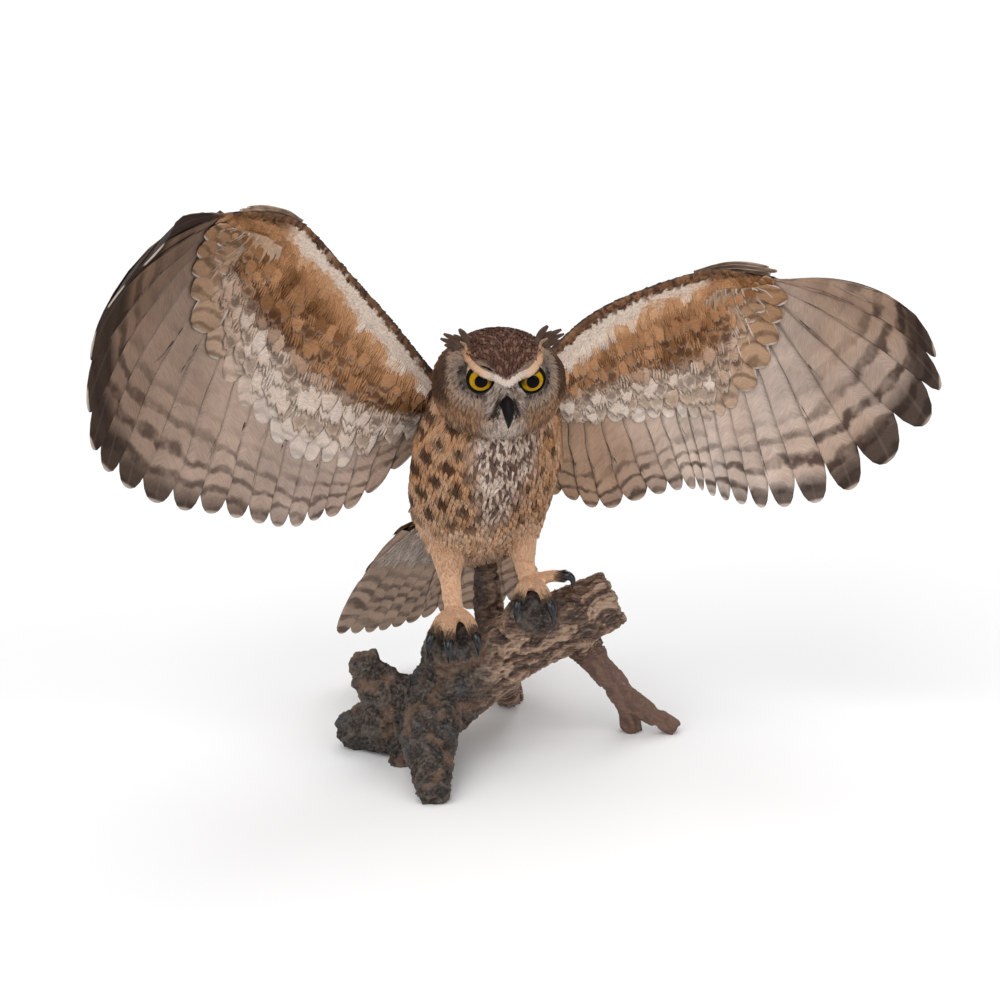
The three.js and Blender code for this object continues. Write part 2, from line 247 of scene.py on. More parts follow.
def setPoints(mesh, points):
    mesh.vertices.foreach_set("co", np.asarray(points, np.float32).ravel())
    mesh.update()


# Replaces a piece by the plain mesh that its modifiers make of it.
def applied(piece):
    name = piece.name
    depsgraph = bpy.context.evaluated_depsgraph_get()
    depsgraph.update()
    mesh = bpy.data.meshes.new_from_object(piece.evaluated_get(depsgraph))
    made = bpy.data.objects.new(name + "_made", mesh)
    old = piece.data
    bpy.data.objects.remove(piece)
    if old.users == 0:
        bpy.data.meshes.remove(old)
    bpy.context.scene.collection.objects.link(made)
    made.name = name
    made.data.name = name
    return made


def voxelled(piece, size):
    modifier = piece.modifiers.new("remesh", "REMESH")
    modifier.mode = "VOXEL"
    modifier.voxel_size = size
    return applied(piece)


def relaxed(mesh, rounds, strength=0.5):
    points = pointsOf(mesh)
    edges = np.empty(len(mesh.edges) * 2, int)
    mesh.edges.foreach_get("vertices", edges)
    a, b = edges.reshape(-1, 2).T
    count = np.bincount(np.concatenate([a, b]), minlength=len(points))[:, None]
    for _ in range(rounds):
        total = np.zeros_like(points)
        for axis in range(3):
            total[:, axis] = np.bincount(a, points[b, axis], len(points))
            total[:, axis] += np.bincount(b, points[a, axis], len(points))
        points = lerp(points, total / count, strength)
    setPoints(mesh, points)


def finished(piece, slot, *nodes):
    shadeSmooth(piece)
    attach(piece, "root")
    if nodes:
        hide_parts(*nodes)
    return piece


# The camera comes first: a long lens at a distance, a little above the owl.
view = {"elevation": 17, "distance": 2.6, "lens": 111, "target": (-0.0256, -0.010, 0.2265)}


def makeCamera():
    camera = bpy.data.objects.new("camera", bpy.data.cameras.new("camera"))
    bpy.context.scene.collection.objects.link(camera)
    tilt = math.radians(view["elevation"])
    camera.location = Vector(view["target"]) + view["distance"] * Vector((0, -math.cos(tilt), math.sin(tilt)))
    camera.rotation_euler = (math.radians(90) - tilt, 0, 0)
    camera.data.lens = view["lens"]
    camera.data.sensor_width = 36
    bpy.context.scene.camera = camera


studio = {
    "floorPaint": (0.93, 0.93, 0.93, 1),
    "floorHalf": 12,
    "sky": 0.4,
    "lamps": [
        {"name": "key", "place": (-1.6, -2.2, 2.8), "spread": 55, "power": 1.65},
        {"name": "fill", "place": (2.2, -2.0, 1.6), "spread": 50, "power": 0.8},
        {"name": "top", "place": (0.2, 0.7, 2.6), "spread": 45, "power": 0.8},
    ],
}


def makeStudio():
    scene = bpy.context.scene
    scene.view_settings.view_transform = "Standard"
    world = bpy.data.worlds.new("studio")
    world.use_nodes = True
    sky = world.node_tree.nodes["Background"].inputs
    sky["Color"].default_value = (1, 1, 1, 1)
    sky["Strength"].default_value = studio["sky"]
    scene.world = world
    half = studio["floorHalf"]
    corners = [(-half, -half, 0), (half, -half, 0), (half, half, 0), (-half, half, 0)]
    floor = meshObject("floor", corners, [(0, 1, 2, 3)])
    material, tree, shader = newMaterial("paleFloor", 0.9, 0.1)
    shader.inputs["Base Color"].default_value = studio["floorPaint"]
    floor.data.materials.append(material)
    for lamp in studio["lamps"]:
        data = bpy.data.lights.new(lamp["name"], "SUN")
        data.angle = math.radians(lamp["spread"])
        data.energy = lamp["power"]
        light = bpy.data.objects.new(lamp["name"], data)
        light.location = lamp["place"]
        aim = Vector((0, 0, 0)) - light.location
        light.rotation_euler = aim.to_track_quat("-Z", "Y").to_euler()
        scene.collection.objects.link(light)


# The head's own axes: sideways to the owl's left, out of the face, and up the face.
head = {
    "centre": (-14, -62, 346),
    "radii": (54, 47, 46.5),
    "turn": 9,
    "eyeSpots": {"right": (-20.5, 34, 13.5), "left": (20.5, 34, 11.5)},
    "eyeRadius": 11.5,
    "browRise": 0.78,
    "coat": 2.6,
}
headTurn = math.radians(head["turn"])
headAxes = np.array([
    [math.cos(headTurn), math.sin(headTurn), 0],
    [math.sin(headTurn), -math.cos(headTurn), 0],
    [0, 0, 1],
])
# Where the drawing's own origin is in the frame, from the eye that both of them place.
eyeLow, eyeHigh = (np.array(corner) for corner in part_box("eye_left"))
eyeSpot = np.array(head["centre"]) + np.array(head["eyeSpots"]["left"]) @ headAxes
origin = (eyeLow + eyeHigh) / 2 - mm * eyeSpot


# Points of the drawing, in millimetres, brought into the frame.
def placed(points):
    return np.asarray(points, float) * mm + origin


# A point given along the head's own axes, in millimetres.
def onHead(side, front, up):
    return placed(columns(side, front, up).astype(float) @ headAxes + np.array(head["centre"]))


def fromHead(points):
    parts = ((np.asarray(points) - origin) / mm - np.array(head["centre"])) @ headAxes.T
    return parts[..., 0], parts[..., 1], parts[..., 2]


# How far the head stands out in a direction given by unit side, front and up.
def headReach(side, front, up):
    face = smooth(front, 0.1, 0.75)
    brow = up - 0.17 - head["browRise"] * np.abs(side)
    ridge = np.exp(-((brow / 0.13) ** 2)) * face * 5.5
    eye = np.exp(-((np.abs(side) - 0.42) ** 2 + (up - 0.06) ** 2) / 0.05) * face * 7
    bridge = np.exp(-((side / 0.14) ** 2) - ((up + 0.12) / 0.3) ** 2) * face * 4
    ruff = np.exp(-(((front - 0.15) / 0.22) ** 2)) * smooth(0.75 - up, 0, 0.5) * 3
    jowl = smooth(-up, 0.2, 0.9) * -3
    return ridge - eye + bridge + ruff + jowl


# The head's surface in unit directions, drawn in by a depth in millimetres.
def headSurface(side, front, up, depth=0):
    wide, deep, tall = (radius + headReach(side, front, up) - depth for radius in head["radii"])
    flat = 1 - 0.1 * smooth(front, 0.5, 1)
    return onHead(side * wide, front * deep * flat, up * tall)


def headShape():
    around = circle(96)
    climb = np.linspace(0.02, np.pi - 0.02, 64)[:, None]
    flat = np.sin(climb)
    up = np.cos(climb) + 0 * around
    return tube(headSurface(flat * np.sin(around), flat * np.cos(around), up, head["coat"]))


# A limb: rings along a curve, with half widths along `side` and square to it.
def limb(shape, turns=32, steps=40, depth=0.0):
    points = np.asarray(shape["points"], float)
    t = np.linspace(0, 1, steps + 1)
    centre = curveAt(points, t)
    ahead = tangentAt(points, t)
    u, w = squareTo(ahead, np.array(shape.get("side", (1, 0, 0)), float))
    angle = circle(turns)
    across = along(shape["across"], t)[:, None] - depth
    deep = along(shape.get("deep", shape["across"]), t)[:, None] - depth
    rings = centre[:, None] + u[:, None] * (np.sin(angle) * across)[..., None]
    rings = rings + w[:, None] * (np.cos(angle) * deep)[..., None]
    return tube(placed(rings))


body = {
    "points": [
        [-36, 82, 158], [-33, 50, 186], [-29, 14, 232],
        [-22, -10, 276], [-17, -26, 312], [-14, -40, 340],
    ],
    "across": [20, 46, 63, 65, 56, 44],
    "deep": [16, 38, 56, 60, 52, 42],
    "side": [0.94, 0.34, 0],
    "coat": 3.0,
}
wings = {
    "right": {
        "lead": [
            [-67, -10, 334], [-100, -25, 382], [-139, -34, 430], [-172, -46, 470],
            [-197, -58, 482], [-219, -72, 487], [-237, -92, 490],
        ],
        "tips": [
            [-82, 28, 262], [-131, 12, 220], [-164, -8, 211], [-195, -30, 211], [-229, -55, 228],
            [-271, -88, 243], [-314, -125, 276], [-333, -165, 328], [-319, -193, 424], [-260, -193, 495],
        ],
        "hollow": [[-4, 12, 4], [-8, 26, 6], [-12, 36, 6], [-22, 44, 8], [-9, 12, 4]],
        "notch": [0.05, 0.05, 0.06, 0.07, 0.06],
        "share": [0.6, 0.67, 0.67, 0.56, 0.29, 0.11, 0.07],
        "band": (0.004, 0.1),
        "alula": [[-171, -44, 471], [-193, -57, 484], [-218, -76, 491]],
        "primarySpread": 0.95,
    },
    "left": {
        "lead": [
            [32, 24, 350], [65, 40, 375], [106, 58, 391], [153, 78, 402],
            [176, 78, 405], [200, 76, 403], [222, 74, 399],
        ],
        "tips": [
            [41, 60, 210], [77, 66, 198], [122, 72, 208], [153, 76, 213], [171, 74, 208],
            [197, 66, 202], [237, 54, 203], [297, 40, 229], [356, 26, 300], [347, 12, 366],
        ],
        "hollow": [[0, 10, 0], [0, 18, 0], [0, 24, 0], [8, 18, 4], [12, 6, 17]],
        "notch": [0.05, 0.05, 0.06, 0.12, 0.14],
        "share": [0.42, 0.5, 0.58, 0.59, 0.33, 0.11, 0.07],
        "band": (0.03, 0.14),
        "alula": [[152, 80, 401], [187, 84, 408], [224, 84, 405]],
        "primarySpread": 0.8,
    },
}
flight = {"primaries": 10, "secondaries": 9, "hidden": 2, "tilt": 1.5}
flightCount = flight["primaries"] + flight["secondaries"]


# A point on the wing: t along it from body to tip, c from leading edge to feather tip, and how far it
# lies to the front of the wing's middle surface, in millimetres.
def onWing(wing, t, c, off=0.0):
    t, c, off = (np.asarray(v, float) for v in np.broadcast_arrays(t, c, off))
    middle = wingMiddle(wing, t, c)
    if not np.any(off):
        return placed(middle)
    ahead, acrossWing = wingAxes(wing, t, c)
    return placed(middle + unit(np.cross(ahead, acrossWing)) * (off * wing["front"])[..., None])


def wingMiddle(wing, t, c):
    root = curveAt(wing["lead"], t)
    tip = curveAt(wing["tips"], t)
    hollows = np.asarray(wing["hollow"], float)
    station = np.clip(t, 0, 1) * (len(hollows) - 1)
    near = np.minimum(station.astype(int), len(hollows) - 2)
    hollow = lerp(hollows[near], hollows[near + 1], smooth(station - near, 0, 1)[..., None])
    c = c[..., None]
    middle = (root + tip) / 2 + 2 * hollow
    return root * (1 - c) ** 2 + middle * 2 * c * (1 - c) + tip * c**2


# Directions along a feather and across the wing.
def wingAxes(wing, t, c):
    held = np.maximum(c, 0.05)
    ahead = unit(wingMiddle(wing, t, c + 0.02) - wingMiddle(wing, t, c - 0.02))
    acrossWing = unit(wingMiddle(wing, t + 0.015, held) - wingMiddle(wing, t - 0.015, held))
    return ahead, acrossWing


# The turning sense that makes the wing's own normal point to its hollow front.
for name, wing in wings.items():
    wing["front"] = 1.0
    ahead, acrossWing = wingAxes(wing, np.array([0.5]), np.array([0.4]))
    if np.cross(ahead, acrossWing)[0, 1] > 0:
        wing["front"] = -1.0


# Half the thickness of the fleshy front of the wing.
def liningHalf(wing, t, c):
    share = along(wing["share"], t)
    front = np.sqrt(np.clip((c + 0.02) / 0.09 + 0.04, 0, 1))
    slim = lerp(1, 0.25, smooth(t, 0.78, 0.92))
    return lerp(9, 5, t) * slim * front * (1 - 0.62 * smooth(c / share, 0.1 / share, 1)) + 0.4


def liningShape(wing, depth):
    t = np.linspace(-flight["hidden"], flightCount + 0.3, 64)[:, None] / flightCount
    z = np.linspace(0, 1, 26)[None] ** 1.4
    c = -0.02 + z * (along(wing["share"], t) + 0.01)
    half = liningHalf(wing, t, c) - depth
    upper = onWing(wing, t + 0 * c, c, np.maximum(half, 0.8))
    lower = onWing(wing, t + 0 * c, c, -np.maximum(half, 0.8))
    return outward(*slab(upper, lower))


legs = {
    "right": {
        "points": [[-64, 26, 216], [-58, 8, 186], [-55, -8, 160], [-52, -21, 138]],
        "across": [27, 16.5, 9.4, 8.4],
    },
    "left": {
        "points": [[4, 22, 226], [6, 8, 190], [8, -3, 172], [12, -10, 158]],
        "across": [27, 13, 9.2, 8.6],
    },
}
feet = {
    "right": [
        [[-52, -23, 136], [-62, -39, 133], [-69, -51, 124]],
        [[-52, -23, 136], [-54, -44, 132], [-55, -57, 121]],
        [[-52, -23, 136], [-40, -39, 134], [-34, -52, 125]],
        [[-52, -19, 136], [-54, 2, 136], [-56, 20, 126]],
    ],
    "left": [
        [[13, -12, 158], [6, -28, 158], [3, -39, 150]],
        [[13, -12, 158], [22, -30, 158], [28, -41, 149]],
        [[13, -12, 158], [29, -19, 165], [40, -25, 167]],
        [[13, -8, 158], [14, 14, 160], [12, 30, 149]],
    ],
}
toeRadii = [6.3, 5.5, 5.3]
eyeCentres = {name: onHead(*spot) for name, spot in head["eyeSpots"].items()}
gazes = {name: unit(onHead(sign * 1.6, 40, -3) - onHead(0, 0, 0)) for name, sign in sides.items()}

# The flesh round the eyes, and how coarsely all the flesh is run together.
socket = {
    "voxel": 0.002, "reach": 0.019, "openAngle": 60, "behind": 9.5, "clear": 12.4, "mound": 14.8,
    "moundBack": 3, "upperFold": 11,
}


# A plain ball, for the mound of flesh that each eye sits in.
def ball(centre, radius):
    around = circle(40)
    climb = np.linspace(0.05, np.pi - 0.05, 24)[:, None]
    rays = columns(np.sin(climb) * np.cos(around), np.sin(climb) * np.sin(around), np.cos(climb))
    return tube(centre + rays * radius * mm)


# One skin over all the flesh: the parts run together, then open round the eyes.
def makeSkin():
    shapes = [limb(body, 64, 60, body["coat"]), headShape()]
    for name in sides:
        shapes.append(ball(eyeCentres[name] - gazes[name] * socket["moundBack"] * mm, socket["mound"]))
        shapes.append(limb(legs[name], 32, 24, 1.0))
        for toe in feet[name]:
            shapes.append(limb({"points": toe, "across": toeRadii}, 20, 14, 0.4))
            end = np.array(toe[2]) + unit(np.array(toe[2]) - np.array(toe[1])) * 2.5
            shapes.append(limb({"points": [toe[2], end], "across": [6.2, 3.6]}, 20, 4))
        shapes.append(liningShape(wings[name], 1.0))
    skin = voxelled(meshObject("owl_skin", *merged(shapes)), socket["voxel"])
    relaxed(skin.data, 5)
    points = pointsOf(skin.data)
    for name in sides:
        away = points - eyeCentres[name]
        reach = np.linalg.norm(away, axis=1)
        angle = np.degrees(np.arccos(np.clip(dot(unit(away), gazes[name])[:, 0], -1, 1)))
        across = unit(away - dot(away, gazes[name]) * gazes[name])
        opening = socket["openAngle"] - socket["upperFold"] * smooth(across[:, 2], 0.3, 0.9)
        inside = (reach < socket["reach"]) & (angle < opening)
        points[inside] = eyeCentres[name] + unit(away[inside]) * socket["behind"] * mm
        wall = (reach < socket["clear"] * mm) & (angle >= opening)
        points[wall] = eyeCentres[name] + unit(away[wall]) * socket["clear"] * mm
    setPoints(skin.data, points)
    return skin


# A row of feather roots: everything that the coat's node tree reads from its points.
rootDefaults = {
    "size": (5, 10, 1), "lift": 8.0, "bend": 0.0,
    "marks": (0, 0, 0), "tint": (0.5, 0.5, 0.5), "patch": (0.5, 0.5, 0),
}


def rootRow(place, out, lie, **values):
    count = len(place)
    row = {"place": place, "out": unit(out), "lie": lie}
    for key, value in {**rootDefaults, **values}.items():
        value = np.asarray(value, float)
        wide = (3,) if key in ("size", "marks", "tint", "patch") else ()
        row[key] = np.array(np.broadcast_to(value, (count,) + wide))
    return row


def stacked(rows):
    return {key: np.concatenate([row[key] for row in rows]) for key in rows[0]}


def picked(row, which):
    return {key: value[which] for key, value in row.items()}


# Brings roots onto the skin and drops those that another part buries.
def settle(data, tree, deepest=0.0035):
    keep, place, out = [], [], []
    for spot, direction in zip(data["place"], data["out"]):
        near, normal, index, distance = tree.find_nearest(Vector(spot))
        facing = normal.dot(Vector(direction))
        buried = (Vector(spot) - near).dot(normal) < -deepest
        keep.append(not buried and distance < 0.012 and facing > -0.2)
        place.append(near[:])
        out.append(normal[:])
    settled = picked(data, np.array(keep))
    settled["place"] = np.array(place)[keep]
    settled["out"] = unit(0.65 * np.array(out)[keep] + 0.35 * settled["out"])
    return settled


# A value that a node tree works out. Sums and products of wires add the nodes that work them out.
class Wire:
    def __init__(self, socket):
        self.socket = socket

    def __add__(self, other):
        return maths("ADD", self, other)

    def __sub__(self, other):
        return maths("SUBTRACT", self, other)

    def __rsub__(self, other):
        return maths("SUBTRACT", other, self)

    def __mul__(self, other):
        return maths("MULTIPLY", self, other)

    def __truediv__(self, other):
        return maths("DIVIDE", self, other)

    def __pow__(self, other):
        return maths("POWER", self, other)


# Node helpers. An input may be given a number, a colour, a node or a wire.
def connect(value, socket):
    if isinstance(value, bpy.types.Node):
        value = Wire(value.outputs[0])
    if isinstance(value, Wire):
        socket.id_data.links.new(value.socket, socket)
    elif socket.type == "RGBA":
        socket.default_value = (*value[:3], 1)
    else:
        socket.default_value = value


def add(tree, kind, inputs=(), **settings):
    node = tree.nodes.new(kind)
    for key, value in settings.items():
        setattr(node, key, value)
    for key, value in dict(inputs).items():
        connect(value, node.inputs[key])
    return node


def wired(tree, kind, inputs=(), output=0, **settings):
    return Wire(add(tree, kind, inputs, **settings).outputs[output])


def treeOf(*values):
    return next(value.socket.id_data for value in values if isinstance(value, Wire))


def maths(operation, a, b=0.0):
    return wired(treeOf(a, b), "ShaderNodeMath", {0: a, 1: b}, operation=operation)


def ramp(value, low, high, start=0.0, end=1.0):
    inputs = {"Value": value, "From Min": low, "From Max": high, "To Min": start, "To Max": end}
    return wired(treeOf(value), "ShaderNodeMapRange", inputs, interpolation_type="SMOOTHSTEP")


def mixed(factor, a, b, mode="MIX"):
    inputs = {0: factor, 6: a, 7: b}
    return wired(treeOf(factor, a, b), "ShaderNodeMix", inputs, 2, data_type="RGBA", blend_type=mode)


def split(vector):
    return [Wire(part) for part in add(treeOf(vector), "ShaderNodeSeparateXYZ", {0: vector}).outputs]


def joined(x, y, z):
    return wired(treeOf(x, y, z), "ShaderNodeCombineXYZ", {0: x, 1: y, 2: z})


def noiseAt(vector, scale, detail=2.0, roughness=0.5):
    inputs = {"Vector": vector, "Scale": scale, "Detail": detail, "Roughness": roughness}
    return wired(treeOf(vector), "ShaderNodeTexNoise", inputs, "Fac")


def attribute(tree, name, output="Vector"):
    return wired(tree, "ShaderNodeAttribute", (), output, attribute_name=name)


def placeOf(tree):
    return wired(tree, "ShaderNodeTexCoord", (), "Object")


# A node group with named inputs, each with its kind and first value, and named outputs with their kinds.
def newGroup(name, kind, inputs, outputs):
    tree = bpy.data.node_groups.new(name, kind)
    for title, (socketKind, value) in inputs.items():
        socket = tree.interface.new_socket(title, in_out="INPUT", socket_type="NodeSocket" + socketKind)
        if value is not None:
            socket.default_value = value
    for title, socketKind in outputs.items():
        tree.interface.new_socket(title, in_out="OUTPUT", socket_type="NodeSocket" + socketKind)
    start, end = tree.nodes.new("NodeGroupInput"), tree.nodes.new("NodeGroupOutput")
    return tree, {title: Wire(start.outputs[title]) for title in inputs}, end


def newMaterial(name, roughness, shine):
    material = bpy.data.materials.new(name)
    material.use_nodes = True
    shader = material.node_tree.nodes["Principled BSDF"]
    shader.inputs["Roughness"].default_value = roughness
    shader.inputs["Specular IOR Level"].default_value = shine
    return material, material.node_tree, shader


def bumped(shader, height, strength, distance):
    inputs = {"Height": height, "Strength": strength, "Distance": distance}
    connect(add(shader.id_data, "ShaderNodeBump", inputs), shader.inputs["Normal"])


# Fine grooves that slant from a feather's shaft to its edge. Barb holds millimetres across the feather,
# millimetres from its tip, and a number that differs from feather to feather.
def makeBarbGroup():
    tree, given, end = newGroup(
        "barbs", "ShaderNodeTree",
        {"Barb": ("Vector", None), "Pitch": ("Float", 1.3), "Slant": ("Float", 0.9)},
        {"Tone": "Float", "Height": "Float"},
    )
    across, fromTip, number = split(given["Barb"])
    slanted = fromTip + maths("ABSOLUTE", across) * given["Slant"]
    spots = joined(slanted / given["Pitch"], across / (given["Pitch"] * 6), number * 37)
    streaks = noiseAt(spots, 1, 3, 0.6)
    connect(ramp(streaks, 0.3, 0.7), end.inputs["Tone"])
    connect(streaks, end.inputs["Height"])
    return tree


barbs = makeBarbGroup()


# The barbs' tone, stretched from low to high, and their height.
def barbsOf(tree, looks):
    inputs = {"Barb": attribute(tree, "barb"), "Pitch": looks["pitch"], "Slant": looks["slant"]}
    node = add(tree, "ShaderNodeGroup", inputs, node_tree=barbs)
    low, high = looks["streak"]
    return Wire(node.outputs["Tone"]) * (high - low) + low, Wire(node.outputs["Height"])


coatLooks = {
    "pitch": 0.8, "slant": 0.5, "streak": (0.7, 1.12), "spot": paints["umber"], "rim": paints["cream"],
    "spotAt": 0.62, "bars": 17, "bump": 0.9, "roughness": 0.78, "shine": 0.18,
}


# The coat's paint. marks holds how strong a feather's dark spot, dark bars and pale rim are.
def makePlumageMaterial():
    material, tree, shader = newMaterial("paintedPlumage", coatLooks["roughness"], coatLooks["shine"])
    side, y, blade = split(attribute(tree, "shaft"))
    spotShare, barShare, rimShare = split(attribute(tree, "marks"))
    tone, grooves = barbsOf(tree, coatLooks)
    x = maths("ABSOLUTE", side)
    wobble = (noiseAt(placeOf(tree), 260, 2) - 0.5) * 0.5
    down = (y + wobble - coatLooks["spotAt"]) * 3.2
    spot = ramp(maths("SQRT", down ** 2 + x ** 2), 1.1, 0.3) * spotShare
    bars = ramp(maths("SINE", (y + wobble) * coatLooks["bars"]), 0.1, 0.6) * barShare
    rim = maths("MAXIMUM", ramp(x, 0.66, 0.95), ramp(y, 0.82, 0.97)) * rimShare
    color = mixed(1.0, attribute(tree, "tint", "Color"), tone, "MULTIPLY")
    color = mixed(rim, color, coatLooks["rim"])
    color = mixed(maths("MAXIMUM", spot, bars), color, coatLooks["spot"])
    connect(color, shader.inputs["Base Color"])
    bumped(shader, grooves, coatLooks["bump"], 0.0006)
    return material


# The same paint on the bare skin between the feathers.
def makeSkinMaterial():
    material, tree, shader = newMaterial("paintedSkin", 0.75, 0.3)
    grain = noiseAt(placeOf(tree), 420, 4, 0.65)
    tone = ramp(grain, 0.3, 0.7, 0.55, 0.95)
    connect(mixed(1.0, attribute(tree, "tint", "Color"), tone, "MULTIPLY"), shader.inputs["Base Color"])
    bumped(shader, grain, 0.6, 0.001)
    return material


# A feather to repeat: a thin closed leaf from its root at the origin to a tip at 1 on Y, and 1 wide on X.
# `fray` cuts every second strip of its tip short, and `curl` turns the tip up.
def leaf(name, wide, rows, rounding, fray, curl, thick, waist, camber):
    u = np.linspace(-1, 1, wide + 1)
    v = np.linspace(0, 1, rows + 1)
    grid = []
    for down in v:
        reach = 1 - rounding * (1 - np.sqrt(1 - 0.98 * u**2))
        reach = reach * np.where(np.arange(wide + 1) % 2 == 1, 1 - fray * smooth(down, 0.5, 1), 1)
        half = 0.5 * lerp(waist, 1, smooth(down, 0, 0.4)) * lerp(1, 0.8, smooth(down, 0.7, 1))
        z = camber * (1 - u**2) + curl * smooth(down, 0.6, 1) ** 2
        grid.append(columns(u * half, down * reach, z))
    upper = np.array(grid)
    inner = [(j, i) for j in range(1, rows) for i in range(1, wide)]
    top = {(j, i): j * (wide + 1) + i for j in range(rows + 1) for i in range(wide + 1)}
    under = {**top, **{spot: len(top) + k for k, spot in enumerate(inner)}}
    points = np.vstack([upper.reshape(-1, 3), np.array([upper[spot] - (0, 0, thick) for spot in inner])])
    faces = []
    for j in range(rows):
        for i in range(wide):
            corners = [(j, i), (j, i + 1), (j + 1, i + 1), (j + 1, i)]
            faces.append(tuple(top[corner] for corner in corners))
            faces.append(tuple(under[corner] for corner in reversed(corners)))
    return template(name, points, faces, [(u[i], v[j], 0) for j, i in [*top, *inner]])


# A loose tuft to repeat: a few narrow three-sided blades from one root, spread over an angle in degrees.
def tuft(name, blades, spreadAngle, wide, seed):
    random = np.random.default_rng(seed)
    shapes, shafts = [], []
    for k in range(blades):
        share = (k + 0.5) / blades * 2 - 1
        turn = math.radians(share * spreadAngle + random.uniform(-4, 4))
        length = 1 - 0.25 * abs(share) - random.uniform(0, 0.12)
        start = np.array([share * 0.28, 0, 0])
        ahead = np.array([math.sin(turn), math.cos(turn), 0])
        side = np.array([ahead[1], -ahead[0], 0]) * wide
        points = []
        for v, half in ((0, 0.7), (0.45, 1.0), (0.8, 0.6)):
            middle = start + ahead * v * length + (0, 0, 0.04 * math.sin(3 * v) + 0.03 * (k % 2))
            points += [middle - side * half, middle + side * half, middle + (0, 0, wide * 0.45 * half)]
            shafts += [(share - 0.2, v, k), (share + 0.2, v, k), (share, v, k)]
        points.append(start + ahead * length + (0, 0, 0.03 * (k % 2)))
        shafts.append((share, 1, k))
        faces = [(2, 1, 0)]
        for j in (0, 3):
            faces += [(j + a, j + (a + 1) % 3, j + 3 + (a + 1) % 3, j + 3 + a) for a in range(3)]
        faces += [(6, 7, 9), (7, 8, 9), (8, 6, 9)]
        shapes.append(outward(np.array(points), faces))
    points, faces = merged(shapes)
    return template(name, points, faces, shafts)


def template(name, points, faces, shafts):
    made = meshObject(name, *outward(np.asarray(points), faces))
    addLayer(made, "shaft", shafts)
    return made


# The coat's node tree: one feather on every root, turned along its lie, bent to the body and painted.
def makePlumageTree():
    tree, given, end = newGroup(
        "plumage", "GeometryNodeTree",
        {
            "Geometry": ("Geometry", None), "Feather": ("Object", None), "Paint": ("Material", None),
            "Ruffle": ("Float", 0.1), "Patch": ("Float", 0.003), "Seed": ("Int", 1),
        },
        {"Geometry": "Geometry"},
    )

    def read(name, kind="FLOAT_VECTOR"):
        return wired(tree, "GeometryNodeInputNamedAttribute", {"Name": name}, data_type=kind)

    def store(geometry, name, value, kind, domain):
        inputs = {"Geometry": geometry, "Name": name, "Value": value}
        return add(tree, "GeometryNodeStoreNamedAttribute", inputs, data_type=kind, domain=domain)

    def scaled(vector, share):
        return wired(tree, "ShaderNodeVectorMath", {0: vector, "Scale": share}, operation="SCALE")

    axes = {0: read("lie"), 1: read("out")}
    aimed = add(tree, "FunctionNodeAxesToRotation", axes, primary_axis="Y", secondary_axis="Z")
    limits = {2: given["Ruffle"] * -1.0, 3: given["Ruffle"], "Seed": given["Seed"]}
    angle = wired(tree, "FunctionNodeRandomValue", limits, 1, data_type="FLOAT")
    twist = add(tree, "FunctionNodeAxisAngleToRotation", {"Axis": (0, 0, 1), "Angle": angle})
    root = {
        "Points": given["Geometry"], "Scale": read("size"),
        "Instance": wired(tree, "GeometryNodeObjectInfo", {"Object": given["Feather"]}, "Geometry"),
        "Rotation": add(tree, "FunctionNodeRotateRotation", {0: aimed, 1: twist}, rotation_space="LOCAL"),
    }
    repeated = add(tree, "GeometryNodeInstanceOnPoints", root)
    solid = add(tree, "GeometryNodeRealizeInstances", {"Geometry": repeated})
    x, y, blade = split(read("shaft"))
    wide, long, tall = split(read("size"))
    drop = scaled(read("out"), y ** 2.0 * read("bend", "FLOAT") * -1.0)
    bent = add(tree, "GeometryNodeSetPosition", {"Geometry": solid, "Offset": drop})
    barb = joined(x * wide * 500.0, (1.0 - y) * long * 1000.0, read("chance", "FLOAT") + blade)
    marked = store(bent, "barb", barb, "FLOAT_VECTOR", "POINT")
    corner = scaled(joined(x * 0.5, y - 0.5, 0.0), given["Patch"])
    patch = wired(tree, "ShaderNodeVectorMath", {0: read("patch"), 1: corner}, operation="ADD")
    mapped = store(marked, "OFBake", patch, "FLOAT2", "CORNER")
    coloured = add(tree, "GeometryNodeSetMaterial", {"Geometry": mapped, "Material": given["Paint"]})
    connect(coloured, end.inputs[0])
    return tree


# One coat piece from its roots. The feather's lie is laid on the skin and lifted a little.
def makeCoat(name, roots, feather, ruffle, seed):
    random = np.random.default_rng(seed)
    out = roots["out"]
    lie = unit(roots["lie"] - dot(roots["lie"], out) * out)
    lift = np.radians(roots["lift"])[:, None]
    piece = meshObject(name, roots["place"], [])
    addLayer(piece, "lie", unit(lie * np.cos(lift) + out * np.sin(lift)))
    addLayer(piece, "out", unit(out * np.cos(lift) - lie * np.sin(lift)))
    addLayer(piece, "size", roots["size"] * mm)
    addLayer(piece, "bend", roots["bend"] * mm)
    addLayer(piece, "chance", random.random(len(out)))
    for key in ("marks", "patch"):
        addLayer(piece, key, roots[key])
    addTint(piece, roots["tint"])
    modifier = piece.modifiers.new("plumage", "NODES")
    modifier.node_group = plumageTree
    values = {
        "Feather": feather, "Paint": plumagePaint, "Ruffle": math.radians(ruffle),
        "Patch": 0.003, "Seed": seed,
    }
    for item in plumageTree.interface.items_tree:
        if item.in_out == "INPUT" and item.name in values:
            modifier[item.identifier] = values[item.name]
    piece = applied(piece)
    report(piece, len(out))
    return piece


# Evenly scattered pairs of numbers from 0 to 1.
def scattered(count, seed=0):
    n = np.arange(count) + seed * 101.7
    return (0.5 + n * 0.7548776662) % 1, (0.5 + n * 0.5698402909) % 1


def mixPaint(a, b, share):
    share = np.asarray(share, float)[:, None]
    return lerp(np.broadcast_to(a, (len(share), 3)), np.broadcast_to(b, (len(share), 3)), share)


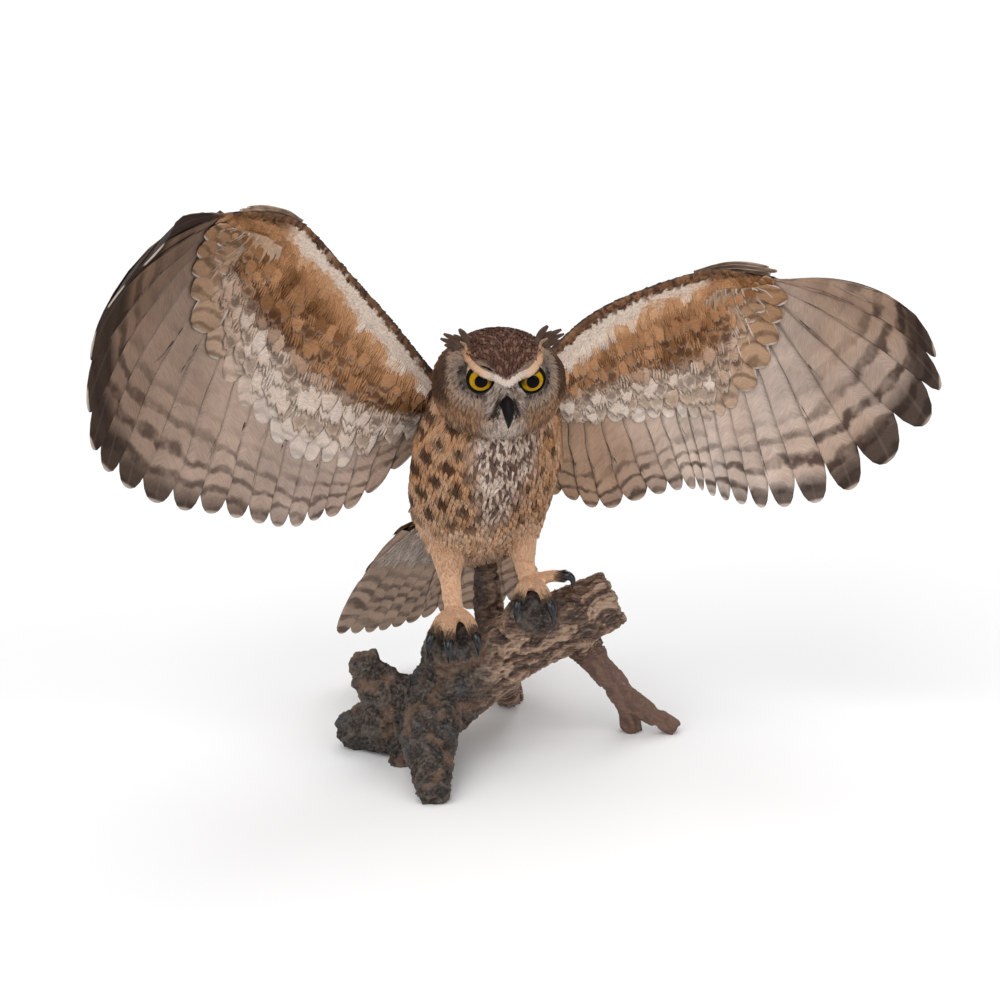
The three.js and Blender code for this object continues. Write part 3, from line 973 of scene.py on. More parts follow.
# Lays shares of more colours over the colours of a coat, one after another.
def overlaid(tint, *layers):
    for color, share in layers:
        tint = lerp(tint, color, np.asarray(share)[..., None])
    return tint


bodyCoat = {
    "count": 5200, "size": (4.4, 12.5), "spotGap": 17.5, "spotSize": 5.2,
    "breastHalf": (12, 27), "breastFoot": (202, 232), "bellyTop": (228, 198),
}


# The trunk and neck: tawny with rows of dark spots, a white breast with short dark dashes, a pale belly
# and a brown back.
def bodyRoots(random):
    t, turn = scattered(bodyCoat["count"], 1)
    points = np.array(body["points"])
    keep = random.random(len(t)) < along(body["across"], t) / max(body["across"])
    t, turn = 0.02 + 0.96 * t[keep], turn[keep] * 2 * np.pi
    ahead = tangentAt(points, t)
    u, w = squareTo(ahead, np.array(body["side"], float))
    radial = u * np.sin(turn)[:, None] * along(body["across"], t)[:, None]
    radial = radial + w * np.cos(turn)[:, None] * along(body["deep"], t)[:, None]
    place = placed(curveAt(points, t) + radial)
    drift = (place[:, 0] - origin[0]) / mm - curveAt(points, t)[:, 0] - 8
    high = (place[:, 2] - origin[2]) / mm
    front = smooth(-unit(radial)[:, 1], -0.25, 0.25)
    fleck = random.random(len(t))
    ragged = noiseOn(place / mm, 11)
    field = noiseOn(place / mm, 16, 4.4)
    half = lerp(*bodyCoat["breastHalf"], smooth(high, 215, 290))
    breast = front * smooth(np.abs(drift) + 8 * ragged, half + 8, half - 8)
    breast = breast * smooth(high, *bodyCoat["breastFoot"])
    belly = front * smooth(high, *bodyCoat["bellyTop"])
    gap, spotSize = bodyCoat["spotGap"], bodyCoat["spotSize"]
    row = np.round((high + 0.3 * drift) / gap)
    shifted = drift + (row % 2) * gap / 2
    away = np.hypot((high + 0.3 * drift) - row * gap, shifted - np.round(shifted / gap) * gap)
    away = away + 1.4 * (fleck - 0.5) + 1.4 * field + 1.8 * smooth(drift, 8, 26)
    spots = smooth(away, spotSize + 2.4, spotSize - 1.8) * (1 - breast) * (1 - 0.75 * belly)
    halo = smooth(np.abs(away - spotSize - 2.6), 1.8, 0.4) * front
    dashes = 0.3 * (fleck < 0.3) * belly * (1 - breast)
    scales = np.sin(high * 0.75 + 2.2 * noiseOn(place / mm, 7, 2.2) + 0.01 * drift**2) > 0.35
    dark = (fleck > 0.88) | (scales & (fleck > 0.6 - 0.35 * smooth(high, 268, 288)))
    cloud = np.clip(0.5 + field + 0.6 * (fleck - 0.5), 0, 1)
    tint = overlaid(
        mixPaint(paints["umber"] * 1.5, paints["tawny"], front),
        (mixPaint(paints["rust"], paints["sand"], cloud), 0.75 * front),
        (paints["buff"], 0.4 * halo),
        (mixPaint(paints["white"] * 1.2, paints["rose"] * 1.1, fleck), 0.95 * breast),
        (mixPaint(paints["buff"], paints["cream"], 0.8 * fleck), 0.8 * belly),
        (paints["umber"], 0.88 * spots),
        (paints["umber"] * 2.0, 0.8 * dark * breast),
    )
    backBars = (1 - front) * (0.4 + 0.6 * fleck)
    wide, long = bodyCoat["size"]
    length = long * (0.85 + 0.3 * random.random(len(t))) * lerp(1.15, 1, front)
    length = length * lerp(1, 0.85, breast) * lerp(1, 1.2, smooth(t, 0.7, 0.85))
    lie = -ahead + unit(np.cross(radial, ahead)) * (random.normal(0, 0.3, len(t)) * breast)[:, None]
    return rootRow(
        place, radial, lie, tint=tint, bend=1.5, lift=11 + 6 * breast + 4 * fleck,
        size=columns(wide * lerp(1.5, 1, front) * lerp(1, 0.75, breast), length, 9.0),
        marks=columns(0.0, np.clip(dashes + backBars, 0, 1), 0.2 * (1 - front)),
        patch=columns(0.02 + 0.96 * turn / (2 * np.pi), 0.02 + 0.96 * t, 0.0),
    )


headCoat = {
    "count": 5850, "faceSize": (1.9, 6.4, 5), "lowSize": (3.2, 14, 6), "crownSize": (2.9, 5.2, 6),
    "napeSize": (5.5, 10, 8), "eyeSide": 20.5, "scale": (9.2, 8.4),
}
# Side and up, from the foot of the V to the tuft.
browLine = [[0, 9], [11, 15], [20, 19.4], [27, 25], [30.5, 31]]


# How far up the head the brow is at a distance from the middle.
def browUp(side):
    line = np.array(browLine, float)
    return np.interp(np.abs(side), line[:, 0], line[:, 1])


# The head, as places in millimetres along its own axes: the dark spotted crown over the V of the brows,
# the two facial discs that spread from the eyes, the pale chin, and the brown back of the head.
def headRoots(random):
    z, turn = scattered(headCoat["count"], 2)
    up = 1 - 2 * z
    flat = np.sqrt(1 - up**2)
    side, front = flat * np.sin(turn * 2 * np.pi), flat * np.cos(turn * 2 * np.pi)
    place = headSurface(side, front, up, head["coat"])
    out = unit(place - onHead(0, 0, 0))
    across, ahead, above = fromHead(place)
    eyeUp = np.where(across < 0, head["eyeSpots"]["right"][2], head["eyeSpots"]["left"][2])
    away = np.hypot(np.abs(across) - headCoat["eyeSide"], above - eyeUp)
    face = (front > 0.02) & (above < browUp(across) + 1)
    low = smooth(above, -13, -25)
    chin = smooth(above, -14, -24) * smooth(front, 0.3, 0.6) * smooth(np.abs(across), 25, 10)
    crown = smooth(above - browUp(across), -1, 2) * smooth(front, -0.75, -0.2)
    fleck = random.random(len(z))
    keep = (face | (fleck < 0.62)) & ~((away < 12.5) & (front > 0.3))
    spread = (across - np.sign(across) * headCoat["eyeSide"])[:, None] * headAxes[0]
    spread = spread + (above - eyeUp)[:, None] * headAxes[2]
    backward = -headAxes[1] + 0.25 * headAxes[2] + 0.2 * np.sign(across)[:, None] * headAxes[0]
    downward = -headAxes[2] - 0.45 * headAxes[1] * (front[:, None] < 0.3)
    lie = np.where(face[:, None], unit(spread) + (0.25 + low)[:, None] * downward, downward)
    lie = np.where((crown > 0.5)[:, None], backward, lie) + random.normal(0, 0.08, (len(z), 3))
    rim = smooth(np.abs(across) + 0.15 * np.abs(above - 4) + 3 * fleck, 44, 49)
    rim = rim * (front > -0.1) * smooth(above, -20, -2)
    rings = (np.sin(away * 1.05 + 1.6 * fleck) > 0.5) * (away > 19)
    between = smooth(np.abs(across), 13, 6) * (front > 0.5) * smooth(above, 14, 6)
    mottled = mixPaint(paints["tawny"], paints["sand"], fleck)
    mottled = overlaid(mottled, (paints["umber"], 0.8 * (fleck > 0.7)))
    nape = (1 - crown) * (front < 0.02)
    gap, rowGap = headCoat["scale"]
    over = np.arctan2(above, ahead) * 46 + 1.5 * noiseOn(place / mm, 9)
    scaleRow = np.round(over / rowGap)
    beside = across + (scaleRow % 2) * (gap / 2)
    offRow = (over - scaleRow * rowGap) / (rowGap / 2)
    offColumn = (beside - np.round(beside / gap) * gap) / (gap / 2)
    scaleEdge = smooth(np.hypot(offRow, offColumn) + 0.5 * (fleck - 0.5), 0.65, 1.15)
    tint = overlaid(
        mixPaint(paints["sand"], paints["ash"], fleck),
        (paints["tawny"], smooth(away, 20, 32) * 0.7),
        # Painted shade of the eye sockets: the disc turns blue-grey, then charcoal, close round each eye.
        (paints["blueGrey"], 0.6 * smooth(away, 21, 14)),
        (paints["charcoal"], 0.9 * smooth(away, 14.8, 12.6)),
        (paints["umber"] * 1.3, 0.55 * rings),
        (paints["umber"], 0.85 * rim),
        (paints["white"], between * 0.9),
        (mottled, low * (1 - chin) * 0.8),
        (mixPaint(paints["white"] * 1.25, paints["ash"] * 1.1, 0.6 * fleck), 0.95 * chin),
        (paints["umber"] * 2, 0.5 * (fleck > 0.85) * np.maximum(chin, between)),
        (mixPaint(paints["umber"] * 1.2, paints["tawny"], 0.6 * fleck), nape),
        (mixPaint(paints["umber"] * 1.8, paints["crown"] * 1.45, scaleEdge), crown),
    )
    faceShare = face.astype(float)
    size = overlaid(
        np.array(headCoat["napeSize"]),
        (np.array(headCoat["faceSize"]), faceShare),
        (np.array(headCoat["lowSize"]), low * faceShare),
        (np.array(headCoat["crownSize"]), crown),
    )
    row = rootRow(
        place, out, lie, size=size * (0.85 + 0.3 * fleck)[:, None], tint=tint,
        bend=0.5 + 0.8 * (1 - faceShare), lift=9 + 10 * low,
        marks=columns(0.6 * nape * (fleck > 0.5), 0.35 * nape, 0.0),
        patch=columns(0.02 + 0.96 * turn, 0.02 + 0.96 * z, 0.0),
    )
    return picked(row, keep), face[keep]


# Where the head's front surface, or the eyeball under it, lies at places given by side and up.
def onFront(side, up, tree, clear=1.4):
    place, out = [], []
    ball = head["eyeRadius"] + clear
    for x, y in zip(side, up):
        hit, normal, index, distance = tree.ray_cast(Vector(onHead(x, 90, y)), Vector(-headAxes[1]))
        reach = float(fromHead(hit)[1]) if hit is not None else 30.0
        for eyeSide, eyeFront, eyeUp in head["eyeSpots"].values():
            over = ball**2 - (x - eyeSide) ** 2 - (y - eyeUp) ** 2
            if over > 0:
                reach = max(reach, eyeFront + math.sqrt(over))
        place.append(onHead(x, reach + 0.8, y))
        out.append(unit(headAxes[1] + 0.35 * headAxes[2] + 0.006 * x * headAxes[0]))
    return np.array(place), np.array(out)


browCoat = {"count": 120, "size": (2.2, 5.2, 4.8), "shifts": (4.4, 3.3, 2.2, 1.1)}


# The cream brows: short pointed feathers that hang from the ridge over each eye.
def browRoots(random, tree):
    rows = []
    t = np.linspace(0, 1, browCoat["count"])
    turn = smooth(t, 0.5, 0.8)[:, None]
    for name, sign in sides.items():
        for layer, shift in enumerate(browCoat["shifts"]):
            line = curveAt([[x, y, 0] for x, y in browLine], t)
            place, out = onFront(sign * line[:, 0], line[:, 1] + shift, tree)
            lie = lerp(-1.0, -0.5, turn) * headAxes[2] + lerp(0.35, 0.6, turn) * sign * headAxes[0]
            lie = lie + 0.1 * headAxes[1]
            fleck = random.random(len(t))
            tint = overlaid(
                mixPaint(paints["cream"] * 0.72, paints["white"] * 0.9, fleck),
                (paints["buff"] * 0.75, 0.75 * smooth(t, 0.15, 0.6)),
                (paints["umber"] * 1.6, 0.7 * (layer == 0)),
                (paints["fawn"], 0.8 * smooth(t, 0.6, 0.9)),
            )
            scale = (0.8 + 0.4 * fleck) * lerp(1, 0.85, smooth(t, 0.7, 1))
            rows.append(rootRow(
                place, out, lie, size=np.array(browCoat["size"]) * scale[:, None], tint=tint,
                lift=12 + 4 * layer, bend=0.6,
                patch=columns(0.02 + 0.46 * (t + (sign > 0)), 0.05 + 0.22 * layer, 0.0),
            ))
    return stacked(rows)


legCoat = {"count": 1180, "toeCount": 330, "size": (1.85, 6.8, 4.0)}


# Legs and toes: short fine buff feathers, turning black towards the claws.
def legRoots(random):
    rows = []
    for index, name in enumerate(sides):
        limbs = [(legs[name]["points"], legs[name]["across"], legCoat["count"], 1.0)]
        limbs += [(toe, toeRadii, legCoat["toeCount"], 0.7) for toe in feet[name]]
        for k, (points, radii, count, scale) in enumerate(limbs):
            t, turn = scattered(count, 5 + k)
            ahead = tangentAt(points, t)
            side, other = squareTo(ahead, np.array([1, 0, 0]))
            out = spokes(other, side, turn * 6.2832)
            place = placed(curveAt(points, t) + out * (along(radii, t) - 0.6)[:, None])
            fleck = random.random(count)
            # The toes turn black towards the claws, and each leg turns a darker sand towards the body.
            darkerEnd = (paints["charcoal"], 0.9 * smooth(t + 0.2 * fleck, 0.68, 1.02))
            if k == 0:
                darkerEnd = (paints["sand"], 0.5 * smooth(t, 0.3, 0))
            rows.append(rootRow(
                place, out, ahead, lift=5, bend=0.3,
                size=np.array(legCoat["size"]) * scale * (0.8 + 0.4 * fleck)[:, None],
                tint=overlaid(mixPaint(paints["buff"] * 1.04, paints["cream"], 0.05 + 0.4 * fleck), darkerEnd),
                patch=columns(0.02 + 0.19 * k + 0.17 * turn, 0.02 + 0.47 * (t + index), 0.0),
            ))
    return stacked(rows)


# Rows of coverts over the fleshy front of each wing. `at` is a row's place between the leading edge and
# the end of the lining, sizes are in millimetres, and `kind` says which feather is repeated.
covertRows = [
    {"at": at, "size": (wide, long), "lift": lift, "kind": kind}
    for at, wide, long, lift, kind in (
        (-0.01, 5, 9, 7, 0), (0.015, 5, 14, 3, 0), (0.04, 5, 15, 3, 0), (0.065, 5, 16, 3, 0),
        (0.09, 5, 16, 3, 0), (0.115, 6, 17, 4, 0), (0.14, 7, 18, 6, 1), (0.165, 7, 18, 7, 1),
        (0.195, 8, 18, 8, 1), (0.225, 9, 18, 8, 1), (0.26, 12, 19, 8, 2), (0.295, 9, 19, 10, 1),
        (0.33, 10, 19, 10, 1), (0.37, 13, 20, 9, 2), (0.41, 10, 20, 11, 1), (0.45, 13, 21, 10, 2),
        (0.49, 11, 21, 12, 1), (0.535, 14, 22, 10, 2), (0.585, 12, 22, 12, 1), (0.63, 15, 24, 9, 2),
        (0.69, 15, 25, 9, 2), (0.75, 13, 25, 10, 1), (0.81, 15, 27, 8, 2),
    )
]
# How each kind of feather in those rows is set: gap for its width, how far it strays, and how thick it is.
covertKinds = [
    {"gap": 0.5, "stray": 0.008, "tall": 3},
    {"gap": 0.45, "stray": 0.02, "tall": 7},
    {"gap": 0.6, "stray": 0.012, "tall": 7},
]
covertEnd = 0.87


# Feathers of a row stand at equal distances along the wing.
def evenAlong(wing, c, gap, start, end):
    t = np.linspace(start, end, 400)
    steps = np.linalg.norm(np.diff(onWing(wing, t, c + 0 * t), axis=0), axis=1)
    run = np.concatenate([[0], np.cumsum(steps)])
    count = max(int(run[-1] / mm / gap), 2)
    return np.interp(np.linspace(0, run[-1], count), run, t)


# The painted ground of the wing's front: a dark leading edge, a cream band, then tawny with dark spots,
# then whitish towards the flight feathers. `field` is the cloudiness of the paint, about -0.5 to 0.5.
def liningTint(t, at, fleck, field, under, band):
    dark = mixPaint(paints["umber"] * 1.3, paints["tawny"] * 0.8, 0.8 * fleck)
    if not under:
        return overlaid(dark, (paints["umber"] * 1.2, smooth(at, 0.3, 0.1)))
    arm = smooth(t, 0.6, 0.5)
    rim, low = band
    low = lerp(1.45, 0.5, smooth(t, 0.0, 0.5)) * low
    shifted = at + 0.07 * field + 0.03 * (fleck - 0.5)
    warm = np.clip(0.5 + 1.3 * field + 0.45 * (fleck - 0.5), 0, 1)
    pale = mixPaint(lerp(paints["sand"], paints["cream"], 0.6), paints["white"] * 1.08, fleck)
    cream = mixPaint(paints["cream"], paints["white"] * 1.1, fleck)
    edge = smooth(at + 0.02 * (fleck - 0.5), rim + 0.006, rim - 0.006)
    return overlaid(
        mixPaint(paints["rust"] * 0.62, paints["fawn"], warm),
        (pale, smooth(at, 0.46, 0.66) * 0.92),
        (lerp(paints["fawn"], paints["buff"], 0.4), arm * smooth(shifted, low + 0.1, low + 0.02)),
        (cream, arm * smooth(shifted, low + 0.04, low - 0.02)),
        (paints["tawny"] * 0.9, 0.6 * (smooth(t, 0.5, 0.6) * smooth(at, 0.5, 0.7))),
        (dark, lerp(smooth(at, 0.07, 0.03), edge, arm)),
    )


def covertRoots(wing, under, random):
    rows = []
    sense = 1 if under else -1
    for number, row in enumerate(covertRows):
        wide, long = row["size"]
        kind = covertKinds[row["kind"]]
        start, end = -1.5 / flightCount, covertEnd - 0.1 * smooth(row["at"], 0.3, 0.5)
        t = evenAlong(wing, row["at"] * 0.48, wide * kind["gap"], start, end)
        t = t + (number % 2) * (t[1] - t[0]) / 2 + random.normal(0, 0.14, len(t)) * (t[1] - t[0])
        if under and row["at"] > 0.28:
            t = t[t < 0.64]
        fleck = random.random(len(t))
        at = row["at"] + random.normal(0, kind["stray"], len(t))
        share = along(wing["share"], t)
        c = np.maximum(at * share, -0.014)
        place = onWing(wing, t, c, sense * np.maximum(liningHalf(wing, t, c) - 0.9, 0.6))
        ahead, acrossWing = wingAxes(wing, t, c)
        out = unit(np.cross(ahead, acrossWing)) * wing["front"] * sense
        tint = liningTint(t, at, fleck, noiseOn(place / mm, 15), under, wing["band"])
        spotted = (fleck < 0.6) & (at > 0.3) & (row["kind"] == 2)
        pale = smooth(at, 0.6, 0.8) * smooth(t, 0.62, 0.45)
        spot = np.where(spotted, 0.72, 0.0) * (1 - 0.4 * pale) if under else 0.7 * (fleck < 0.6)
        rim = 0.3 * smooth(t, 0.45, 0.6) * smooth(at, 0.4, 0.65) + 0.34
        short = np.clip(share / 0.5, 0.66, 1.1) if row["kind"] > 0 else 1.0
        lie = ahead + random.normal(0, 0.1, (len(t), 3))
        rows.append(rootRow(
            place, out, lie, tint=tint, kind=row["kind"], bend=0.06 * long,
            lift=row["lift"] + random.normal(0, 2, len(t)) * (row["kind"] > 0),
            size=columns(wide * lerp(1, short, 0.5), long * short * (0.85 + 0.3 * fleck), kind["tall"]),
            marks=columns(spot, 0.5 * (not under), rim * (row["kind"] == 2)),
            patch=columns(0.02 + 0.96 * (t + 0.1) / 1.15, 0.015 + 0.48 * (at + (not under)), 0.0),
        ))
    return stacked(rows)


# What the long feathers of each wing look like, from the innermost secondary to the outermost primary.
flightLooks = {
    "right": {
        "ground": [
            paint(178, 148, 126), paint(184, 160, 146), paint(188, 166, 152), paint(182, 158, 143),
            paint(168, 143, 126), paint(128, 103, 88), paint(96, 74, 62),
        ],
        "gap": [13, 13, 14, 18, 22, 25, 27],
        "share": [0.45, 0.45, 0.45, 0.35, 0.25, 0.15, 0.1],
        "strength": [0.75, 0.75, 0.75, 0.72, 0.8, 0.9, 0.9],
        "fade": [36, 36, 40, 54, 76, 96, 115],
        "tipDark": [0.3, 0.35, 0.5, 0.75, 0.88, 0.92, 0.95],
        "tipLong": [4, 5, 7, 11, 22, 55, 125],
        "rim": [0.3, 0.3, 0.3, 0.3, 0.35, 0.4, 0.4],
    },
    "left": {
        "ground": [
            paint(172, 138, 112), paint(178, 148, 128), paint(196, 175, 161), paint(206, 187, 175),
            paint(200, 180, 168), paint(176, 154, 140), paint(152, 128, 112),
        ],
        "gap": [13, 13, 14, 17, 20, 23, 24],
        "share": [0.5, 0.45, 0.4, 0.35, 0.25, 0.15, 0.1],
        "strength": [0.85, 0.85, 0.85, 0.85, 0.9, 0.92, 0.92],
        "fade": [34, 36, 40, 46, 58, 80, 94],
        "tipDark": [0.35, 0.4, 0.5, 0.7, 0.85, 0.88, 0.9],
        "tipLong": [4, 5, 6, 8, 16, 30, 42],
        "rim": [0.3, 0.3, 0.25, 0.2, 0.15, 0.15, 0.15],
    },
    "tail": {
        "ground": [paint(186, 160, 142), paint(188, 160, 140), paint(180, 152, 132)],
        "gap": [19, 21, 19],
        "strength": [0.75, 0.7, 0.75],
        "share": [0.1], "fade": [85], "tipDark": [0.3], "tipLong": [8], "rim": [0.2],
    },
    "alula": {
        "ground": [paint(172, 146, 126), paint(158, 132, 112)],
        "gap": [14], "share": [0.2], "strength": [0.4], "fade": [60],
        "tipDark": [0.4], "tipLong": [6], "rim": [0.3],
    },
}
# Where a feather's points stand across it, on one side of the shaft and then on both.
fineHalf = [0.06, 0.18, 0.34, 0.5, 0.68, 0.84, 0.96, 1]
coarseHalf = [0.07, 0.25, 0.5, 0.75, 0.93, 1]
featherColumns, coarseColumns = ([-x for x in reversed(half)] + [0] + half for half in (fineHalf, coarseHalf))


# One long feather on a fan: a thin closed slab with a raised shaft, tilted so that it lies over its
# neighbour on one side and under the other.
featherShape = {
    "tilt": 1.5, "spread": 0.9, "off": (0, 0), "curl": 0.8, "thick": 0.55, "tip": 1.0, "narrow": 0.8,
    "columns": featherColumns, "rows": 46, "ridge": 0.45, "limit": 9.0,
}


def longFeather(surface, t, spacing, base, notch, random, **changes):
    shape = {**featherShape, **changes}
    spread, curl, tip = shape["spread"], shape["curl"], shape["tip"]
    u = np.array(shape["columns"])[None]
    v = (np.linspace(0, 1, shape["rows"] + 1) ** 0.85)[:, None]
    edge = np.abs(u)
    lobe = 1 - np.sqrt(1 - 0.985 * edge ** 2.6)
    crossing = 1 - math.sqrt(1 - min(0.5 / spread / shape["narrow"], 0.97) ** 2.6)
    reach = np.maximum(tip - notch / crossing * lobe, base + 0.15 * (tip - base))
    c = base + (reach - base) * v
    width = spread * spacing * lerp(0.8, 1, smooth(v, 0, 0.3)) * lerp(1, shape["narrow"], smooth(v, 0.5, 1))
    gaps = np.zeros_like(c)
    for _ in range(random.integers(1, 3)):
        side, where = random.choice((-1, 1)), random.uniform(0.45, 0.9)
        cut = np.exp(-(((v - where - 0.04 * u * side) / 0.014) ** 2))
        gaps = gaps + 0.16 * cut * smooth(u * side, 0.5, 1)
    wave = 0.05 * np.sin(v * random.uniform(8, 14) + random.uniform(0, 6))
    wave = wave * smooth(edge, 0.5, 1) * smooth(v, 0.1, 0.4)
    station = np.minimum(t + u * width * (1 - gaps + wave), shape["limit"])
    ridge = shape["ridge"] * np.exp(-((u / 0.055) ** 2)) * lerp(1, 0.3, v)
    roll = curl * smooth(edge, 0.7, 1) ** 2 + curl * smooth(v, 0.9, 1) ** 2
    off = lerp(*shape["off"], smooth(v, 0, 0.8))
    middle = off - shape["tilt"] * u - 0.35 * (1 - u**2) - roll * random.uniform(0.4, 1.3)
    half = shape["thick"] * lerp(1, 0.45, edge ** 3) + 0 * v
    upper = surface(station, c, middle + half + ridge)
    lower = surface(station, c, middle - half - ridge)
    points, faces = outward(*slab(upper, lower))
    quill = surface(np.full(20, t), np.linspace(base, tip, 20), 0)
    long = np.linalg.norm(np.diff(quill, axis=0), axis=1).sum() / mm
    wide = np.linalg.norm(surface(t + width, v * tip, 0) - surface(t - width, v * tip, 0), axis=-1) / mm / 2
    barb = columns(u * wide, (tip - c) / (tip - base) * long, random.random()).reshape(-1, 3)
    local = columns(u, v, 0.0).reshape(-1, 3)
    return {
        "points": points, "faces": faces, "barb": np.vstack([barb, barb]), "shaft": np.vstack([local, local]),
        "face": np.repeat([1.0, 0.0], len(barb)), "at": t,
    }


# Long feathers joined into one piece, with what its paint needs to know about each of them.
def featherPiece(name, feathers, looks):
    piece = meshObject(name, *merged([(f["points"], f["faces"]) for f in feathers]))
    at = np.repeat([f["at"] for f in feathers], [len(f["points"]) for f in feathers])
    barb, shaft, under = (np.concatenate([f[key] for f in feathers]) for key in ("barb", "shaft", "face"))

    def look(*keys):
        return np.stack([along(looks[key], at) for key in keys], -1)

    addLayer(piece, "barb", barb)
    addLayer(piece, "shaft", shaft)
    addLayer(piece, "bars", look("gap", "share", "fade"))
    addLayer(piece, "marks", look("strength", "tipDark", "tipLong"))
    addLayer(piece, "under", under)
    addLayer(piece, "rim", look("rim"))
    addTint(piece, np.stack([along([ground[k] for ground in looks["ground"]], at) for k in range(3)], -1))
    piece.data.materials.append(flightPaintMaterial)
    atlas(piece, feathers, shaft, under)
    report(piece, len(feathers))
    return piece


# Every feather has its own strip on the piece's map, the under side in the lower half and the upper above.
def atlas(piece, feathers, shafts, under):
    strip = np.repeat(np.arange(len(feathers)), [len(f["points"]) for f in feathers])
    u = (strip + 0.06 + 0.44 * (shafts[:, 0] + 1)) / len(feathers)
    v = 0.01 + 0.48 * shafts[:, 1] + 0.5 * (1 - under)
    corners = np.empty(len(piece.data.loops), int)
    piece.data.loops.foreach_get("vertex_index", corners)
    layer = piece.data.uv_layers.new(name="OFBake")
    layer.data.foreach_set("uv", np.stack([u, v], -1)[corners].astype(np.float32).ravel())


flightPaint = {
    "bar": paint(60, 42, 33), "tipDark": paint(48, 35, 29), "edge": paint(206, 194, 184),
    "over": paint(120, 92, 72), "warm": paint(176, 138, 106),
    "pitch": 1.1, "slant": 0.9, "streak": (0.86, 1.08), "bump": 0.8,
}


# The long feathers' paint: wavy dark bars that fade towards the shaft's root, a dark zone near the tip, a
# thin pale edge, and fine grooves.
def makeFlightMaterial():
    material, tree, shader = newMaterial("paintedFlightFeathers", 0.7, 0.2)
    across, fromTip, number = split(attribute(tree, "barb"))
    side, down, face = split(attribute(tree, "shaft"))
    gap, share, fadeEnd = split(attribute(tree, "bars"))
    strength, tipDark, tipLong = split(attribute(tree, "marks"))
    under, rim = attribute(tree, "under", "Fac"), attribute(tree, "rim", "Fac")
    place = placeOf(tree)
    tone, grooves = barbsOf(tree, flightPaint)
    x = maths("ABSOLUTE", side)
    shake = (noiseAt(place, 150, 3, 0.6) - 0.5) * 6
    run = fromTip + (noiseAt(place, 30, 2) - 0.5) * 26 + (shake + (x ** 2 * 5 + (number - 0.5) * 14))
    wave = maths("COSINE", run / gap * (2 * math.pi)) + share * -1.0
    fade = ramp(fromTip / fadeEnd, 1.5, 0.55, 0.1, 1.0)
    patchy = ramp(noiseAt(place, 75, 2), 0.32, 0.6, 0.4, 1.0)
    tipEnd = tipLong - (fromTip + (shake + x * 5))
    cloud = ramp(noiseAt(place, 22, 3), 0.3, 0.7, 0.84, 1.12)
    ground = mixed(1.0 - under, attribute(tree, "tint", "Color"), flightPaint["over"])
    ground = mixed(ramp(noiseAt(place, 13, 2), 0.45, 0.68) * 0.3, ground, flightPaint["warm"])
    color = mixed(1.0, ground, tone * cloud, "MULTIPLY")
    outerEdge = ramp(x + rim * 0.2, 0.96, 1.04) * ramp(fromTip, 60, 20, 0.25, 1.0)
    layers = (
        (ramp(wave, -0.5, 0.7) * strength * fade * patchy, "bar"),
        (ramp(tipEnd, -14, 8) * ramp(fromTip, 0.8, 3.5) * tipDark, "tipDark"),
        # A dark line down each feather's inner edge, where it lies over its neighbour: partly the casting's
        # painted edge line, partly painted shade of the overlap.
        (ramp(side, -0.8, -0.97) * (0.62 - rim) * ramp(fromTip, 3, 14), "bar"),
        (maths("MAXIMUM", outerEdge, ramp(fromTip, 2.4, 0.8)) * (rim + 0.25), "edge"),
        (ramp(x, 0.06, 0.03) * 0.04, "edge"),
    )
    for factor, layer in layers:
        color = mixed(factor, color, flightPaint[layer])
    connect(color, shader.inputs["Base Color"])
    bumped(shader, grooves, flightPaint["bump"], 0.0011)
    return material


def tailPlace(t, c, off=0.0):
    t, c, off = (np.asarray(v, float) for v in np.broadcast_arrays(t, c, off))
    middle = tailMiddle(t, c)
    ahead = unit(tailMiddle(t, c + 0.02) - tailMiddle(t, c - 0.02))
    acrossTail = unit(tailMiddle(t + 0.02, np.maximum(c, 0.3)) - tailMiddle(t - 0.02, np.maximum(c, 0.3)))
    down = unit(np.cross(ahead, acrossTail))
    return placed(middle + down * (off * np.where(down[..., 2] > 0, -1, 1))[..., None])


tailFan = {
    "rootLine": [[-86, 56, 190], [4, 66, 186]],
    "tips": [
        [-164, 146, 56], [-134, 176, 46], [-104, 196, 45],
        [-68, 212, 52], [-13, 214, 60], [20, 200, 78],
    ],
    "arch": 9,
    "count": 12,
    "notch": [0.08, 0.05, 0.08],
}


def tailMiddle(t, c):
    tip = curveAt(tailFan["tips"], t)
    start, end = (np.array(p, float) for p in tailFan["rootLine"])
    root = start + (end - start) * t[..., None]
    c = c[..., None]
    return root + (tip - root) * c + np.array([0, 0, tailFan["arch"]]) * 4 * c * (1 - c)


# Eyes: a ball each, with the iris and pupil on it round the way that it looks. Their "white" is near black:
# it colours the ball outside the iris and also the painted shade over the iris's inner and upper side.
eyePaint = {
    "iris": paint(186, 146, 20), "irisInner": paint(166, 118, 12), "irisRim": paint(62, 50, 14),
    "pupil": paint(5, 4, 4), "white": paint(12, 10, 9), "pupilAngle": 27, "irisAngle": 55,
}


# Where an eye looks, with its own right and up.
def gazeAxes(name):
    right = unit(np.cross(gazes[name], (0, 0, 1.0)))
    return gazes[name], right, np.cross(right, gazes[name])


def makeEye(name):
    gaze, right, up = gazeAxes(name)
    around = circle(64)
    climb = np.linspace(0.01, np.pi - 0.01, 48)
    degrees = np.degrees(climb)
    radius = head["eyeRadius"] * mm * (1 + 0.035 * smooth(degrees, 62, 30))[:, None, None]
    rays = np.cos(climb)[:, None, None] * gaze + np.sin(climb)[:, None, None] * spokes(right, up, around)
    eye = meshObject("eye_" + name + "_glass", *tube(eyeCentres[name] + radius * rays))
    addLayer(eye, "fromGaze", np.concatenate([np.repeat(degrees, len(around)), [0, 180]]))
    # Where the eye is painted dark as shade: strongest on its inner side, towards the beak, and on its top,
    # under the brow.
    inward = 0.85 * np.cos(around) * sides[name] + 0.6 * np.sin(around)
    addLayer(eye, "inward", np.concatenate([np.tile(inward, len(climb)), [0, 0]]))
    return eye


